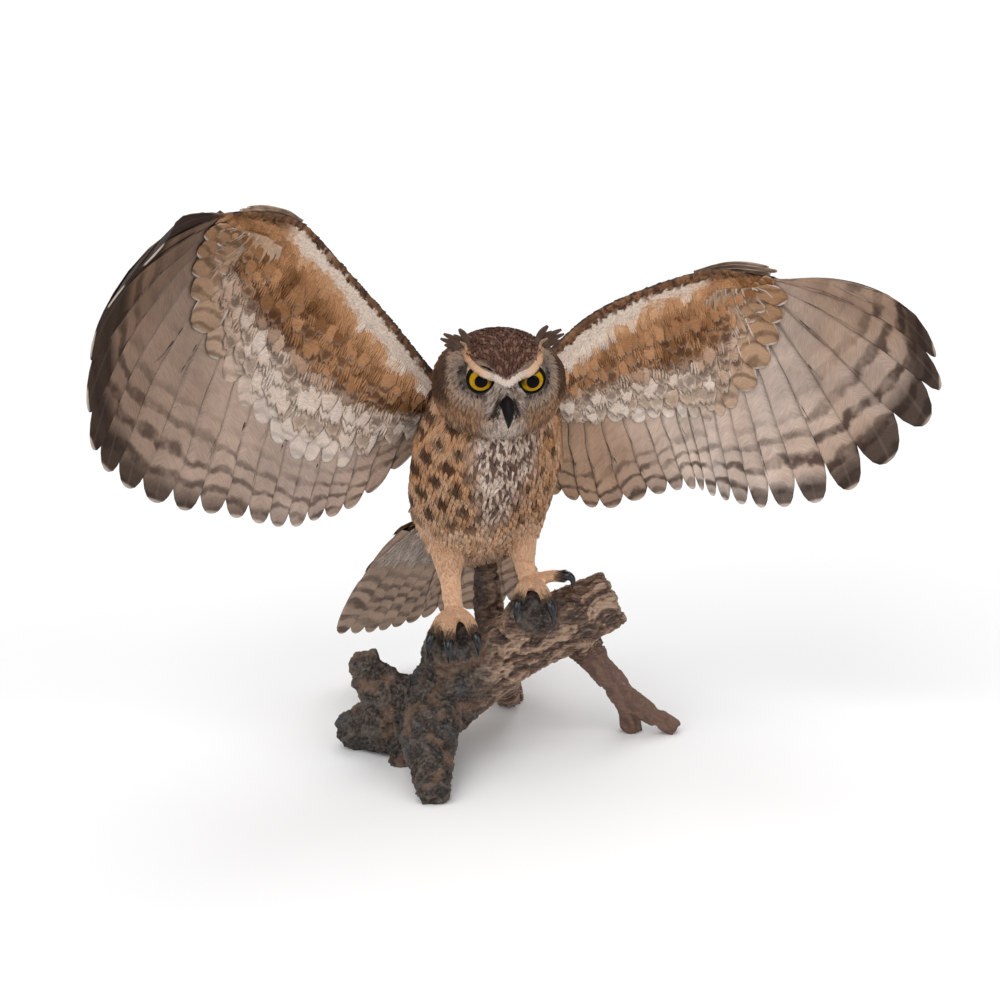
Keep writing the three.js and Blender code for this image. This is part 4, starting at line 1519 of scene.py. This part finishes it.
def makeEyeMaterial():
    material, tree, shader = newMaterial("paintedGlassEye", 0.1, 0.05)
    angle = attribute(tree, "fromGaze", "Fac")
    fleck = noiseAt(placeOf(tree), 900, 3, 0.6)
    inward = ramp(attribute(tree, "inward", "Fac"), 0.1, 0.85)
    iris, pupil = eyePaint["irisAngle"], eyePaint["pupilAngle"]
    color = mixed(ramp(angle, 24, 52), eyePaint["irisInner"], eyePaint["iris"])
    layers = (
        (ramp(fleck, 0.45, 0.65) * 0.35, "irisRim"),
        (ramp(angle, 46, 56), "irisRim"),
        # Painted shade: the iris's inner and upper side darkened almost to black.
        (inward * ramp(angle, 20, 40) * 0.85, "white"),
        (ramp(angle, iris - 1, iris + 1), "white"),
        (ramp(angle, pupil + 1.5, pupil - 1.5), "pupil"),
    )
    for factor, layer in layers:
        color = mixed(factor, color, eyePaint[layer])
    connect(color, shader.inputs["Base Color"])
    shader.inputs["Coat Weight"].default_value = 0.02
    shader.inputs["Coat Roughness"].default_value = 0.03
    return material


lids = {
    "angle": 62, "thick": 1.2, "outside": 12.3, "steps": 72, "ring": 12,
    "slant": 22, "lean": 0.12, "hoodAngle": 64, "hoodOut": 11.95, "hoodIn": 11.65,
    "looks": {"paint": paint(14, 11, 10), "roughness": 0.8, "grain": 500, "bump": 0.3, "shine": 0.1},
}


# Black lids: a soft ring round each eye, and a hood over it that slants down to the beak.
def makeLids():
    shapes = []
    count, size = lids["steps"], lids["ring"]
    around, turn = circle(count), circle(size)
    faces = [
        (i * size + j, i * size + k, m * size + k, m * size + j)
        for i, m in wrapped(count) for j, k in wrapped(size)
    ]
    for name, sign in sides.items():
        gaze, right, up = gazeAxes(name)
        edge = math.radians(lids["angle"])
        ray = gaze * math.cos(edge) + spokes(right, up, around) * math.sin(edge)
        middle = eyeCentres[name] + ray * lids["outside"] * mm
        side = unit(np.cross(unit(np.roll(middle, -1, 0) - np.roll(middle, 1, 0)), ray))
        wide = lids["thick"] * mm * (1 + 0.25 * np.sin(3 * around + sign))[:, None, None]
        flat = side[:, None] * (1.5 * np.cos(turn))[None, :, None]
        flat = flat + ray[:, None] * (0.7 * np.sin(turn))[None, :, None]
        shapes.append(outward((middle[:, None] + wide * flat).reshape(-1, 3), faces))
        shapes.append(hood(name, sign))
    return meshObject("eyelids", *merged(shapes))


# The upper lid: part of a ball a little larger than the eye, cut off level with its own slant.
def hood(name, sign):
    slant, edge = math.radians(lids["slant"]), math.radians(lids["hoodAngle"])
    axis = -sign * math.sin(slant) * headAxes[0] + math.cos(slant) * headAxes[2]
    axis = unit(axis + lids["lean"] * headAxes[1])
    right = unit(np.cross(axis, headAxes[1]))
    rays = spokes(right, np.cross(axis, right), circle(lids["steps"]))
    outer = np.linspace(0.02, edge, 14)
    rings = [(a, lids["hoodOut"] + 0.35 * math.sin(a / edge * math.pi / 2) ** 6) for a in outer]
    rings += [(a, lids["hoodIn"]) for a in np.linspace(edge, 0.02, 6)]
    return tube([
        eyeCentres[name] + (axis * math.cos(a) + rays * math.sin(a)) * reach * mm for a, reach in rings
    ])


# One flat colour with fine grain, for skin, horn and claws.
def makePlainMaterial(name, looks):
    material, tree, shader = newMaterial(name, looks["roughness"], looks["shine"])
    fine = noiseAt(placeOf(tree), looks["grain"], 3, 0.6)
    tone = ramp(fine, 0.3, 0.7, 0.7, 1.25)
    connect(mixed(1.0, looks["paint"], tone, "MULTIPLY"), shader.inputs["Base Color"])
    shader.inputs["Coat Weight"].default_value = looks.get("coat", 0)
    shader.inputs["Coat Roughness"].default_value = 0.15
    bumped(shader, fine, looks["bump"], 0.0004)
    return material


beak = {
    "line": [[0, 38, -7], [0, 45.5, -8], [0, 51, -12], [0, 53.5, -17.5], [0, 51.5, -25]],
    "across": [5.5, 5.3, 4.7, 3.3, 0.6],
    "deep": [7, 6.8, 5.8, 4.2, 0.8],
    "looks": {"paint": paint(15, 12, 11), "roughness": 0.5, "grain": 300, "bump": 0.25, "shine": 0.12},
}


# A hooked beak with a ridge along its top.
def makeBeak():
    line = np.array([(onHead(*p) - origin) / mm for p in beak["line"]])
    t = np.linspace(0, 1, 41)
    ahead = tangentAt(line, t)
    side = headAxes[0] + 0 * ahead
    front = np.cross(ahead, side)
    front = front * np.sign(dot(front, headAxes[1]))
    x, y = np.cos(circle(28)), np.sin(circle(28))
    keel = 1 + 0.12 * np.exp(-((x / 0.35) ** 2)) * (y > 0)
    across, deep = along(beak["across"], t)[:, None], along(beak["deep"], t)[:, None]
    rings = curveAt(line, t)[:, None] + side[:, None] * (x * across)[..., None]
    rings = rings + front[:, None] * (y * keel * deep)[..., None]
    return meshObject("beak_horn", *tube(placed(rings)))


talons = {
    "across": [4.4, 3.9, 2.7, 0.5],
    "line": ((-2, 0.5), (5, -0.5), (9.5, 3.5), (9.5, 12)),  # ahead of the toe's tip and down from it
    "looks": {
        "paint": paint(20, 21, 25), "roughness": 0.25, "grain": 300, "bump": 0.2, "coat": 0.15, "shine": 0.4,
    },
}


# Claws that run on from the toes and curl down over the wood.
def makeTalons():
    shapes = []
    down = np.array([0, 0.25, -1])
    for toe in (toe for name in sides for toe in feet[name]):
        tip = np.array(toe[2], float)
        ahead = unit(tip - np.array(toe[1]))
        line = [tip + ahead * a + down * b for a, b in talons["line"]]
        shapes.append(limb({"points": line, "across": talons["across"]}, 20, 24))
    return meshObject("talons_horn", *merged(shapes))


def flightFeathers(wing, random, first, last):
    feathers = []
    for i in range(first, last):
        t = (i + 0.5) / flightCount
        spread = lerp(0.88, wing["primarySpread"], smooth(t, 0.5, 0.7)) + 0.55 * float(smooth(t, 0.84, 0.9))
        notch = along(wing["notch"], t) * random.uniform(0.9, 1.15)
        outer = float(smooth(t, 0.84, 0.92))
        base = along(wing["share"], t) * 0.9 * (1 - outer)
        feathers.append(longFeather(
            lambda a, c, off: onWing(wing, a, c, off), t, 1 / flightCount, base, notch, random,
            spread=spread, tip=1 - random.uniform(0, 0.008), limit=1.0,
            tilt=lerp(flight["tilt"] + 0.4 * (t > 0.5), 0.7, outer),
        ))
    return feathers


# Rows of long coverts over the roots of the flight feathers, on the front or the back of a wing.
greaterRows = [
    {"tip": 1.12, "handTip": 1.3, "off": 1.7, "spread": 0.64},
    {"tip": 1.02, "handTip": 0.78, "off": 2.9, "spread": 0.68},
    {"tip": 0.86, "handTip": 0.52, "off": 3.8, "spread": 0.7},
]
greaterCount = 20
greaterLooks = {
    "ground": [
        paint(186, 156, 134), paint(220, 203, 190), paint(226, 209, 196), paint(184, 152, 126),
        paint(164, 124, 90), paint(158, 116, 82),
    ],
    "gap": [14, 14, 14, 15, 16, 16],
    "share": [0.5, 0.5, 0.5, 0.45, 0.4, 0.4],
    "strength": [0.4, 0.3, 0.35, 0.6, 0.7, 0.75],
    "fade": [40, 40, 40, 60, 80, 80],
    "tipDark": [0.0, 0.0, 0.0, 0.1, 0.15, 0.15],
    "tipLong": [6, 6, 6, 9, 9, 9],
    "rim": [0.25, 0.25, 0.3, 0.5, 0.6, 0.55],
}
backLooks = {
    "ground": [paint(120, 92, 74), paint(124, 96, 76), paint(116, 88, 70)],
    "gap": [12, 12, 13],
    "share": [-0.1], "strength": [0.7], "fade": [60],
    "tipDark": [0.3, 0.3, 0.4],
    "tipLong": [5, 5, 6],
    "rim": [0.1, 0.15, 0.1],
}


def greaterFeathers(wing, random, sense):
    feathers = []
    for number, row in enumerate(greaterRows):
        for i in range(-1, greaterCount):
            t = (i + 0.5 + 0.5 * (number % 2) + random.normal(0, 0.06)) / greaterCount
            share = along(wing["share"], t)
            hand = float(smooth(t, 0.5, 0.64))
            tip = share * lerp(row["tip"], row["handTip"], hand) + 0.02 + random.normal(0, 0.01)
            base = lerp(max(tip - 0.21, 0.07), 0.06, hand)
            if tip < base + 0.09 or t > 0.84 or hand * number > 1.2:
                continue
            start = float(liningHalf(wing, np.array(t), np.array(base))) + 0.3
            feathers.append(longFeather(
                lambda a, c, off: onWing(wing, a, c, sense * off), t, 1 / greaterCount, base,
                lerp(0.05, 0.016, hand), random,
                spread=row["spread"] + 0.3 * hand + 0.1 * random.random(), tip=tip,
                off=(start, row["off"] + 1.6 * hand), tilt=0.9 * sense, curl=0.4 - 1.2 * hand, thick=0.4,
                columns=coarseColumns, rows=18, ridge=0.35,
            ))
    return feathers


# The small stiff feathers of the wrist.
def alulaFeathers(wing, random):
    line = np.array(wing["alula"], float)
    side = unit(np.array([0.2, -0.6, 0.75]))

    def surface(a, c, off):
        a, c, off = (np.asarray(v, float) for v in np.broadcast_arrays(a, c, off))
        ahead = tangentAt(line, c)
        acrossBlade = unit(side - dot(side, ahead) * ahead)
        normal = np.cross(ahead, acrossBlade)
        normal = normal * np.where(normal[..., 1:2] > 0, -1, 1)
        bulge = (1 - 0.3 * smooth(c, 0.6, 1.0)) * lerp(0.35, 1, smooth(c, 0, 0.4))
        return placed(curveAt(line, c) + acrossBlade * (a * 8.5 * bulge)[..., None] + normal * off[..., None])

    feathers = []
    for i, (place, tip) in enumerate(((-1.1, 0.82), (-0.75, 0.93), (-0.35, 1.0), (0.0, 0.9))):
        feathers.append(longFeather(
            surface, place, 1.0, 0.02, 0.22, random, spread=0.6, tip=tip, off=(-1.5 - 0.8 * i, 1.6 - 1.2 * i),
            tilt=0.5, curl=0.3, thick=0.5, columns=coarseColumns, rows=24, ridge=0.5,
        ))
    return feathers


def tailFeathers(random):
    feathers = []
    for i in range(tailFan["count"]):
        t = (i + 0.5) / tailFan["count"]
        turn = 1 if t > 0.5 else -1
        feathers.append(longFeather(
            tailPlace, t, 1 / tailFan["count"], 0.12, along(tailFan["notch"], t), random,
            spread=0.95, tilt=1.4 * turn, off=(1.5 * abs(t - 0.5), 3 * abs(t - 0.5)), thick=0.6,
        ))
    return feathers


earTufts = {
    "lobes": [
        {"root": [27, 17, 31], "tip": [34, 17, 49.5], "wide": 2.9},
        {"root": [29, 15, 30], "tip": [38, 14, 44], "wide": 2.5},
        {"root": [31, 14, 31], "tip": [46, 13, 45], "wide": 2.4},
        {"root": [32, 13, 28], "tip": [48.5, 12, 41], "wide": 2.2},
        {"root": [31, 12, 25], "tip": [45, 11, 35.5], "wide": 2.4},
        {"root": [28.5, 20.5, 29.5], "tip": [33.5, 18.5, 39.5], "wide": 1.3},
    ],
    "shift": {"right": 0.5, "left": 3.5},
    "across": [0.75, 0.95, 1.0, 1.0, 0.95, 0.8, 0.4],
    "deep": [2.0, 1.8, 1.5, 1.3, 1.1, 0.9, 0.5],
    "paint": paint(92, 73, 62),
}


# Horn-like tufts over the ears: short pointed blades that lean outwards.
def makeEarTuft(name, sign):
    shapes, shafts = [], []
    shift = earTufts["shift"][name]
    turns, steps = 20, 14
    for k, lobe in enumerate(earTufts["lobes"]):
        root, tip = np.array(lobe["root"]) + (0.4 * shift, 0, 0), np.array(lobe["tip"]) + (shift, 0, 0)
        bent = (root + tip) / 2 + (-1.5, -1.0, 1.5)
        shape = {
            "points": [(onHead(sign * p[0], p[1], p[2]) - origin) / mm for p in (root, bent, tip)],
            "across": [share * lobe["wide"] for share in earTufts["across"]],
            "deep": earTufts["deep"], "side": headAxes[0] * 0.8 - headAxes[2] * 0.5 * sign,
        }
        shapes.append(limb(shape, turns, steps))
        turn = np.sin(circle(turns))
        rows = np.linspace(0, 1, steps + 1)
        shafts.append(columns(np.tile(turn, len(rows)), np.repeat(rows, turns), k))
        shafts.append([[0, 0, k], [0, 1, k]])
    piece = meshObject("ear_tuft_" + name + "_blades", *merged(shapes))
    x, y, blade = np.vstack(shafts).T
    addLayer(piece, "shaft", columns(x, y, blade))
    addLayer(piece, "barb", columns(x * 5, (1 - y) * 16, blade))
    addLayer(piece, "marks", np.tile([0.45, 0.35, 0.0], (len(x), 1)))
    stripe = (blade > len(earTufts["lobes"]) - 1.5)[:, None]
    addTint(piece, np.where(stripe, lerp(paints["fawn"], paints["sand"], 0.7) * 0.85, earTufts["paint"]))
    return piece


bristleCoat = {"count": 760, "size": (1.4, 7.0, 4.5), "side": 13, "top": 8, "tall": 30}


# Stiff bristles that spread from the foot of the beak: dark beside it and white further out.
def bristleRoots(random, tree):
    count = bristleCoat["count"]
    a, b = scattered(count, 9)
    sign = np.where(np.arange(count) % 2 == 0, 1, -1)
    side = sign * (0.3 + bristleCoat["side"] * a)
    up = bristleCoat["top"] - bristleCoat["tall"] * b - 3 * a
    up = np.where(np.abs(side) < 4.5, np.maximum(up, -1.5), up)
    place, out = [], []
    for x, y in zip(side, up):
        start = onHead(x, 90, y)
        hit, normal, index, distance = tree.ray_cast(Vector(start), Vector(-headAxes[1]))
        place.append(hit if hit is not None else start)
        out.append(normal if hit is not None else headAxes[1])
    lie = headAxes[2] * -0.9 + (sign * (0.35 + 0.6 * a))[:, None] * headAxes[0]
    fleck = random.random(count)
    tint = overlaid(
        mixPaint(paints["white"], paints["ash"], fleck),
        (paints["umber"] * 2, 0.5 * (fleck > 0.85)),
        (paints["charcoal"], 0.9 * (smooth(np.abs(side) + 0.3 * up, 6.5, 4) * smooth(up, 2, -2))),
    )
    return rootRow(
        np.array(place), np.array(out), lie, tint=tint, lift=20 + 16 * smooth(np.abs(side), 5, 2), bend=1.2,
        size=np.array(bristleCoat["size"]) * (0.7 + 0.5 * fleck)[:, None],
        patch=columns(0.3 + 0.2 * (a * sign), 0.3 + 0.3 * b, 0.0),
    )


# Loose downy coverts under the root of the tail, and brown barred ones over it.
tailCoats = {
    "under": {
        "count": 300, "seed": 12, "wide": 7, "reach": 0.36, "off": (3.2, -2), "face": -1, "column": 0.1,
        "marks": (0, 0, 0), "paints": (paints["white"], paints["ash"]),
    },
    "over": {
        "count": 260, "seed": 14, "wide": 11, "reach": 0.4, "off": (-3, 1.5), "face": 1, "column": 0.55,
        "marks": (0.2, 0.6, 0.2), "paints": (paints["umber"] * 1.5, paints["tawny"] * 0.8),
    },
}


def tailCoatRoots(random, coat):
    a, b = scattered(coat["count"], coat["seed"])
    fleck = random.random(coat["count"])
    place = tailPlace(0.02 + 0.96 * a, 0.02 + coat["reach"] * b, coat["off"][0] + coat["off"][1] * b)
    ahead = unit(tailPlace(a, 0.1 + 0.3 * b, 0) - tailPlace(a, 0.3 * b, 0))
    out = unit(np.cross(ahead, unit(tailPlace(0.9 + 0 * a, 0.3, 0) - tailPlace(0.1 + 0 * a, 0.3, 0))))
    out = out * np.where(out[:, 2:3] > 0, coat["face"], -coat["face"])
    return rootRow(
        place, out, ahead, marks=coat["marks"], lift=5, bend=2, tint=mixPaint(*coat["paints"], fleck),
        size=columns(coat["wide"] + 2 * fleck, 24 + 8 * fleck, 9.0),
        patch=columns(coat["column"] + 0.4 * a, 0.1 + 0.4 * b, 0.0),
    )


wood = {
    "limbs": [
        {"points": [[-104, -20, 34], [-74, -14, 44], [-42, -8, 73], [2, -4, 99], [42, 0, 118], [84, 2, 139]],
         "across": [30, 32, 34, 28, 27, 24]},
        {"points": [[-50, -6, 82], [-50, -26, 108], [-50, -32, 118]], "across": [31, 25, 13]},
        {"points": [[8, -2, 108], [13, -16, 136], [14, -21, 149]], "across": [24, 18, 12]},
        {"points": [[-6, -12, 110], [1, -24, 128], [4, -30, 138]], "across": [13, 10, 6]},
        {"points": [[24, -10, 116], [27, -24, 130], [29, -30, 138]], "across": [14, 10, 6]},
        {"points": [[-98, -18, 50], [-120, -20, 72], [-129, -22, 94]], "across": [25, 18, 12]},
        {"points": [[-90, -8, 34], [-120, 4, 22], [-150, 10, 14]], "across": [30, 24, 13]},
        {"points": [[-72, -30, 48], [-72, -68, 30], [-67, -122, 8]], "across": [28, 22, 12]},
        {"points": [[-88, -16, 36], [-97, -28, 16], [-98, -30, -4]], "across": [12, 10, 9]},
        {"points": [[-16, 4, 84], [-10, 62, 44], [-4, 124, 2]], "across": [20, 14, 12]},
        {"points": [[46, 6, 112], [72, 22, 72], [94, 34, 38], [104, 50, -4]], "across": [19, 13, 12, 9.5]},
        {"points": [[94, 32, 40], [118, 38, 20], [142, 42, 4]], "across": [11, 10, 8]},
        {"points": [[-20, 6, 92], [-23, 24, 130], [-27, 34, 186]], "across": [15, 12, 8]},
    ],
    "voxel": 0.0013,
    "barkEnds": (-6, -44),
    "perch": (18, -20, 138),
    "knobs": {"size": 15, "tall": 2.0},
    "grit": {"size": 4.2, "tall": 1.5},
    "grain": {"along": 0.15, "size": 9, "tall": 4.0, "warp": 5, "warpSize": 26},
}


def noiseOn(points, scale, seed=0.0):
    spots = points / scale + seed
    return np.array([noise.noise(Vector(spot)) for spot in spots])


# The driftwood: every limb run together, knobbly bark on one side and ledges along the grain on the
# other, cut level with the floor.
def makeWood():
    shapes = [limb(shape, 36, 48, 1.2) for shape in wood["limbs"]]
    piece = voxelled(meshObject("driftwood", *merged(shapes)), wood["voxel"])
    relaxed(piece.data, 4)
    place = (pointsOf(piece.data) - origin) / mm
    normals = pointsOf(piece.data, "normal")
    perch = np.linalg.norm(place - np.array(wood["perch"]), axis=1)
    bark = np.maximum(smooth(place[:, 0], *wood["barkEnds"]), smooth(perch, 30, 18))
    knobs, grit, grain = wood["knobs"], wood["grit"], wood["grain"]
    lumps = 1 - 2.4 * np.abs(noiseOn(place, knobs["size"])) + 0.7 * noiseOn(place, knobs["size"] * 0.5, 7.3)
    fine = 1 - 2.6 * np.abs(noiseOn(place, grit["size"], 3.1))
    fine = fine + 0.8 * noiseOn(place, grit["size"] * 0.45, 5.7)
    axis = unit(np.array([84, 2, 139.0]) - np.array([2, -4, 99.0]))
    downward = unit(np.array([104, 50, -4.0]) - np.array([46, 6, 112.0]))
    prop = smooth(place[:, 2] - 0.5 * place[:, 0], 66, 46) * smooth(place[:, 0], 30, 46)
    axes = lerp(axis, downward, prop[:, None])
    run = dot(place, axes)
    warp = columns(*[noiseOn(place, grain["warpSize"], seed) for seed in (1.3, 8.2, 15.4)])
    warp = warp * grain["warp"] * 2
    squeezed = place - axes * run * (1 - grain["along"]) + warp
    ledges = noiseOn(squeezed, grain["size"]) + 0.5 * noiseOn(squeezed, grain["size"] * 0.5, 2.2)
    ledges = ledges + 0.35 * noiseOn(squeezed, grain["size"] * 0.27, 9.1)
    steps = np.tanh(np.sin(ledges * 7) * 2) * 0.32 + ledges * 1.0
    tall = lerp(steps * grain["tall"] * lerp(1, 0.45, prop), lumps * knobs["tall"], bark)
    raised = tall + fine * grit["tall"] * lerp(0.35 - 0.2 * prop, 1, bark)
    setPoints(piece.data, (place + normals * (raised - 0.4)[:, None]) * mm + origin)
    for key, value in {"bark": bark, "raised": raised, "prop": prop}.items():
        addLayer(piece, key, value)
    cutLevel(piece)
    return piece


# Cuts a piece off at the floor and closes it again.
def cutLevel(piece):
    work = bmesh.new()
    work.from_mesh(piece.data)
    everything = work.verts[:] + work.edges[:] + work.faces[:]
    level, down = (0, 0, 0.0002), (0, 0, -1)
    cut = bmesh.ops.bisect_plane(work, geom=everything, plane_co=level, plane_no=down, clear_outer=True)
    rim = [e for e in cut["geom_cut"] if isinstance(e, bmesh.types.BMEdge)]
    bmesh.ops.edgeloop_fill(work, edges=rim)
    bmesh.ops.recalc_face_normals(work, faces=work.faces[:])
    work.to_mesh(piece.data)
    work.free()


# Paints of the wood. The darkest bark paint also serves as painted shade in the hollows, and the pale paints
# also serve as painted highlights on the ridges.
woodPaint = {
    "bark": paint(72, 61, 54), "barkPaleAndHighlight": paint(132, 116, 104), "barkDarkAndShade": paint(18, 14, 12),
    "moss": paint(62, 68, 74), "rust": paint(112, 84, 66), "brown": paint(126, 98, 80),
    "brownPaleAndHighlight": paint(204, 174, 148), "brownLow": paint(58, 41, 34), "prop": paint(106, 78, 66),
}


def makeWoodMaterial():
    material, tree, shader = newMaterial("paintedDriftwood", 0.6, 0.4)
    place = placeOf(tree)
    bark, prop, raised = (attribute(tree, name, "Fac") for name in ("bark", "prop", "raised"))
    drawnOut = {"Vector": place, "Rotation": (0, math.radians(26), 0), "Scale": (0.14, 1, 1)}
    streaks = noiseAt(wired(tree, "ShaderNodeMapping", drawnOut), 420, 4, 0.62)
    speckle = noiseAt(place, 380, 4, 0.7)
    cloud = noiseAt(place, 45, 3)
    plain = mixed(ramp(streaks, 0.3, 0.62), woodPaint["brownLow"], woodPaint["brown"])
    plain = mixed(prop * 0.8, plain, woodPaint["prop"])
    plain = mixed(ramp(streaks, 0.55, 0.75) * ramp(prop, 0, 1, 0.6, 0.1), plain, woodPaint["brownPaleAndHighlight"])
    rough = mixed(ramp(speckle, 0.35, 0.65), woodPaint["barkDarkAndShade"], woodPaint["bark"])
    rough = mixed(ramp(speckle, 0.56, 0.72) * 0.55, rough, woodPaint["barkPaleAndHighlight"])
    rough = mixed(ramp(cloud, 0.56, 0.66) * 0.5, rough, woodPaint["moss"])
    rough = mixed(ramp(cloud, 0.47, 0.38) * 0.6, rough, woodPaint["rust"])
    # Painted shade: the hollows of the surface are darkened towards the darkest bark paint.
    color = mixed(ramp(raised, 0.0, -2.6) * 0.75, mixed(bark, plain, rough), woodPaint["barkDarkAndShade"])
    # Painted highlights: the raised ridges are lightened towards pale brown or pale bark.
    high = ramp(raised, 1.0, 3.2) * (0.45 - bark * 0.2)
    color = mixed(high, color, mixed(bark, woodPaint["brownPaleAndHighlight"], woodPaint["barkPaleAndHighlight"]))
    connect(color, shader.inputs["Base Color"])
    height = add(tree, "ShaderNodeMix", {0: bark, 2: streaks, 3: speckle}, data_type="FLOAT")
    bumped(shader, height, 0.9, 0.0014)
    return material


def fromPolygons(piece):
    faces = [tuple(polygon.vertices) for polygon in piece.data.polygons]
    return BVHTree.FromPolygons(pointsOf(piece.data).tolist(), faces)


# Gives every point of the skin the paint of the feathers that root next to it.
def tintSkin(skin, rows):
    places = np.vstack([row["place"] for row in rows])
    tints = np.vstack([row["tint"] for row in rows])
    nearest = KDTree(len(places))
    for index, place in enumerate(places):
        nearest.insert(Vector(place), index)
    nearest.balance()
    addTint(skin, tints[[nearest.find(Vector(point))[1] for point in pointsOf(skin.data)]])


makeCamera()
makeStudio()
plumageTree = makePlumageTree()
plumagePaint = makePlumageMaterial()
flightPaintMaterial = makeFlightMaterial()
skin = makeSkin()
skinSurface = fromPolygons(skin)
print("skin", len(skin.data.vertices), "points")

templates = {
    "fine": tuft("fineTuft", blades=3, spreadAngle=18, wide=0.17, seed=3),
    "loose": tuft("looseTuft", blades=4, spreadAngle=15, wide=0.15, seed=5),
    "round": leaf(
        "roundLeaf", wide=6, rows=5, rounding=0.35, fray=0.12, curl=0.08, thick=0.05, waist=0.55, camber=0.16
    ),
    "pointed": tuft("pointedTuft", blades=2, spreadAngle=10, wide=0.24, seed=8),
}

random = np.random.default_rng(11)
bodyRow = settle(bodyRoots(random), skinSurface)
facesFront = bodyRow["out"][:, 1] < 0
headRow, onFace = headRoots(random)
headRow = settle({**headRow, "onFace": onFace}, skinSurface, 0.006)
onFace = headRow.pop("onFace")
browRow = browRoots(random, skinSurface)
bristleRow = bristleRoots(random, skinSurface)
legRow = settle(legRoots(random), skinSurface, 0.002)
liningRows = {}
for name, wing in wings.items():
    for under in (True, False):
        liningRows[name, under] = covertRoots(wing, under, random)
tintSkin(skin, [bodyRow, headRow, browRow, legRow, *liningRows.values()])
skin.data.materials.append(makeSkinMaterial())
print("roots ready")

flesh = ["head", "neck", "trunk"] + [part + side for side in sides for part in ("leg_", "foot_")]
linings = ["wing_" + side + part for side in sides for part in ("_arm", "_hand")]
finished(skin, "body_plumage", *flesh, *linings)
coats = (
    ("belly", picked(bodyRow, facesFront), "loose", 9, 1, "body_plumage"),
    ("back", picked(bodyRow, ~facesFront), "loose", 9, 9, "body_plumage"),
    ("face", picked(headRow, onFace), "fine", 7, 2, "head_plumage"),
    ("crown", picked(headRow, ~onFace), "round", 8, 3, "head_plumage"),
    ("brow", browRow, "pointed", 9, 4, "head_plumage"),
    ("bristle", bristleRow, "fine", 9, 5, "head_plumage"),
    ("leg", legRow, "fine", 7, 6, "leg"),
    ("tail_under", tailCoatRoots(random, tailCoats["under"]), "loose", 9, 7, "body_plumage"),
    ("tail_back", tailCoatRoots(random, tailCoats["over"]), "round", 7, 8, "body_plumage"),
)
for label, row, feather, ruffle, seed, slotName in coats:
    finished(makeCoat(label + "_coat", row, templates[feather], ruffle, seed), slotName)
coverts = (("_down", "fine"), ("_loose", "loose"), ("_coverts", "round"))
for number, ((name, under), row) in enumerate(liningRows.items()):
    kinds = row.pop("kind")
    for kind, (ending, feather) in enumerate(coverts):
        label = "wing_" + name + ("_front" if under else "_back") + ending
        coat = makeCoat(label, picked(row, kinds == kind), templates[feather], 7, 20 + 3 * number + kind)
        finished(coat, "wing_lining")
print("coats ready")

for name, wing in wings.items():
    primaries = flightFeathers(wing, random, flight["secondaries"], flightCount)
    secondaries = flightFeathers(wing, random, -flight["hidden"], flight["secondaries"])
    rows = (
        ("_long_primaries", primaries, flightLooks[name], "flight_feather", "_primaries"),
        ("_long_secondaries", secondaries, flightLooks[name], "flight_feather", "_secondaries"),
        ("_alula_blades", alulaFeathers(wing, random), flightLooks["alula"], "flight_feather", "_alula"),
        ("_front_greater", greaterFeathers(wing, random, 1), greaterLooks, "wing_lining", None),
        ("_back_greater", greaterFeathers(wing, random, -1), backLooks, "wing_lining", None),
    )
    for ending, feathers, looks, slotName, node in rows:
        piece = featherPiece("wing_" + name + ending, feathers, looks)
        finished(piece, slotName, *(["wing_" + name + node] if node else []))
finished(featherPiece("tail_feathers", tailFeathers(random), flightLooks["tail"]), "flight_feather", "tail")
print("long feathers ready")


def painted(piece, material):
    piece.data.materials.append(material)
    return piece


eyeMaterial = makeEyeMaterial()
for name in sides:
    finished(painted(makeEye(name), eyeMaterial), "eye", "eye_" + name)
finished(painted(makeLids(), makePlainMaterial("lidSkin", lids["looks"])), "head_plumage")
for name, sign in sides.items():
    finished(painted(makeEarTuft(name, sign), plumagePaint), "head_plumage", "ear_tuft_" + name)
finished(painted(makeBeak(), makePlainMaterial("darkHorn", beak["looks"])), "claw", "beak")
claws = ["talon_" + side + "_" + str(k) for side in sides for k in range(1, 5)]
finished(painted(makeTalons(), makePlainMaterial("blackTalon", talons["looks"])), "claw", *claws)
woodNodes = (
    "log", "perch_right", "perch_left", "knob", "root_left", "root_front", "root_small", "root_back", "prop",
    "prop_fork", "stub",
)
finished(painted(makeWood(), makeWoodMaterial()), "driftwood", *["base_" + part for part in woodNodes])
print("eyes, beak, claws and wood ready")

for piece in templates.values():
    bpy.data.objects.remove(piece)
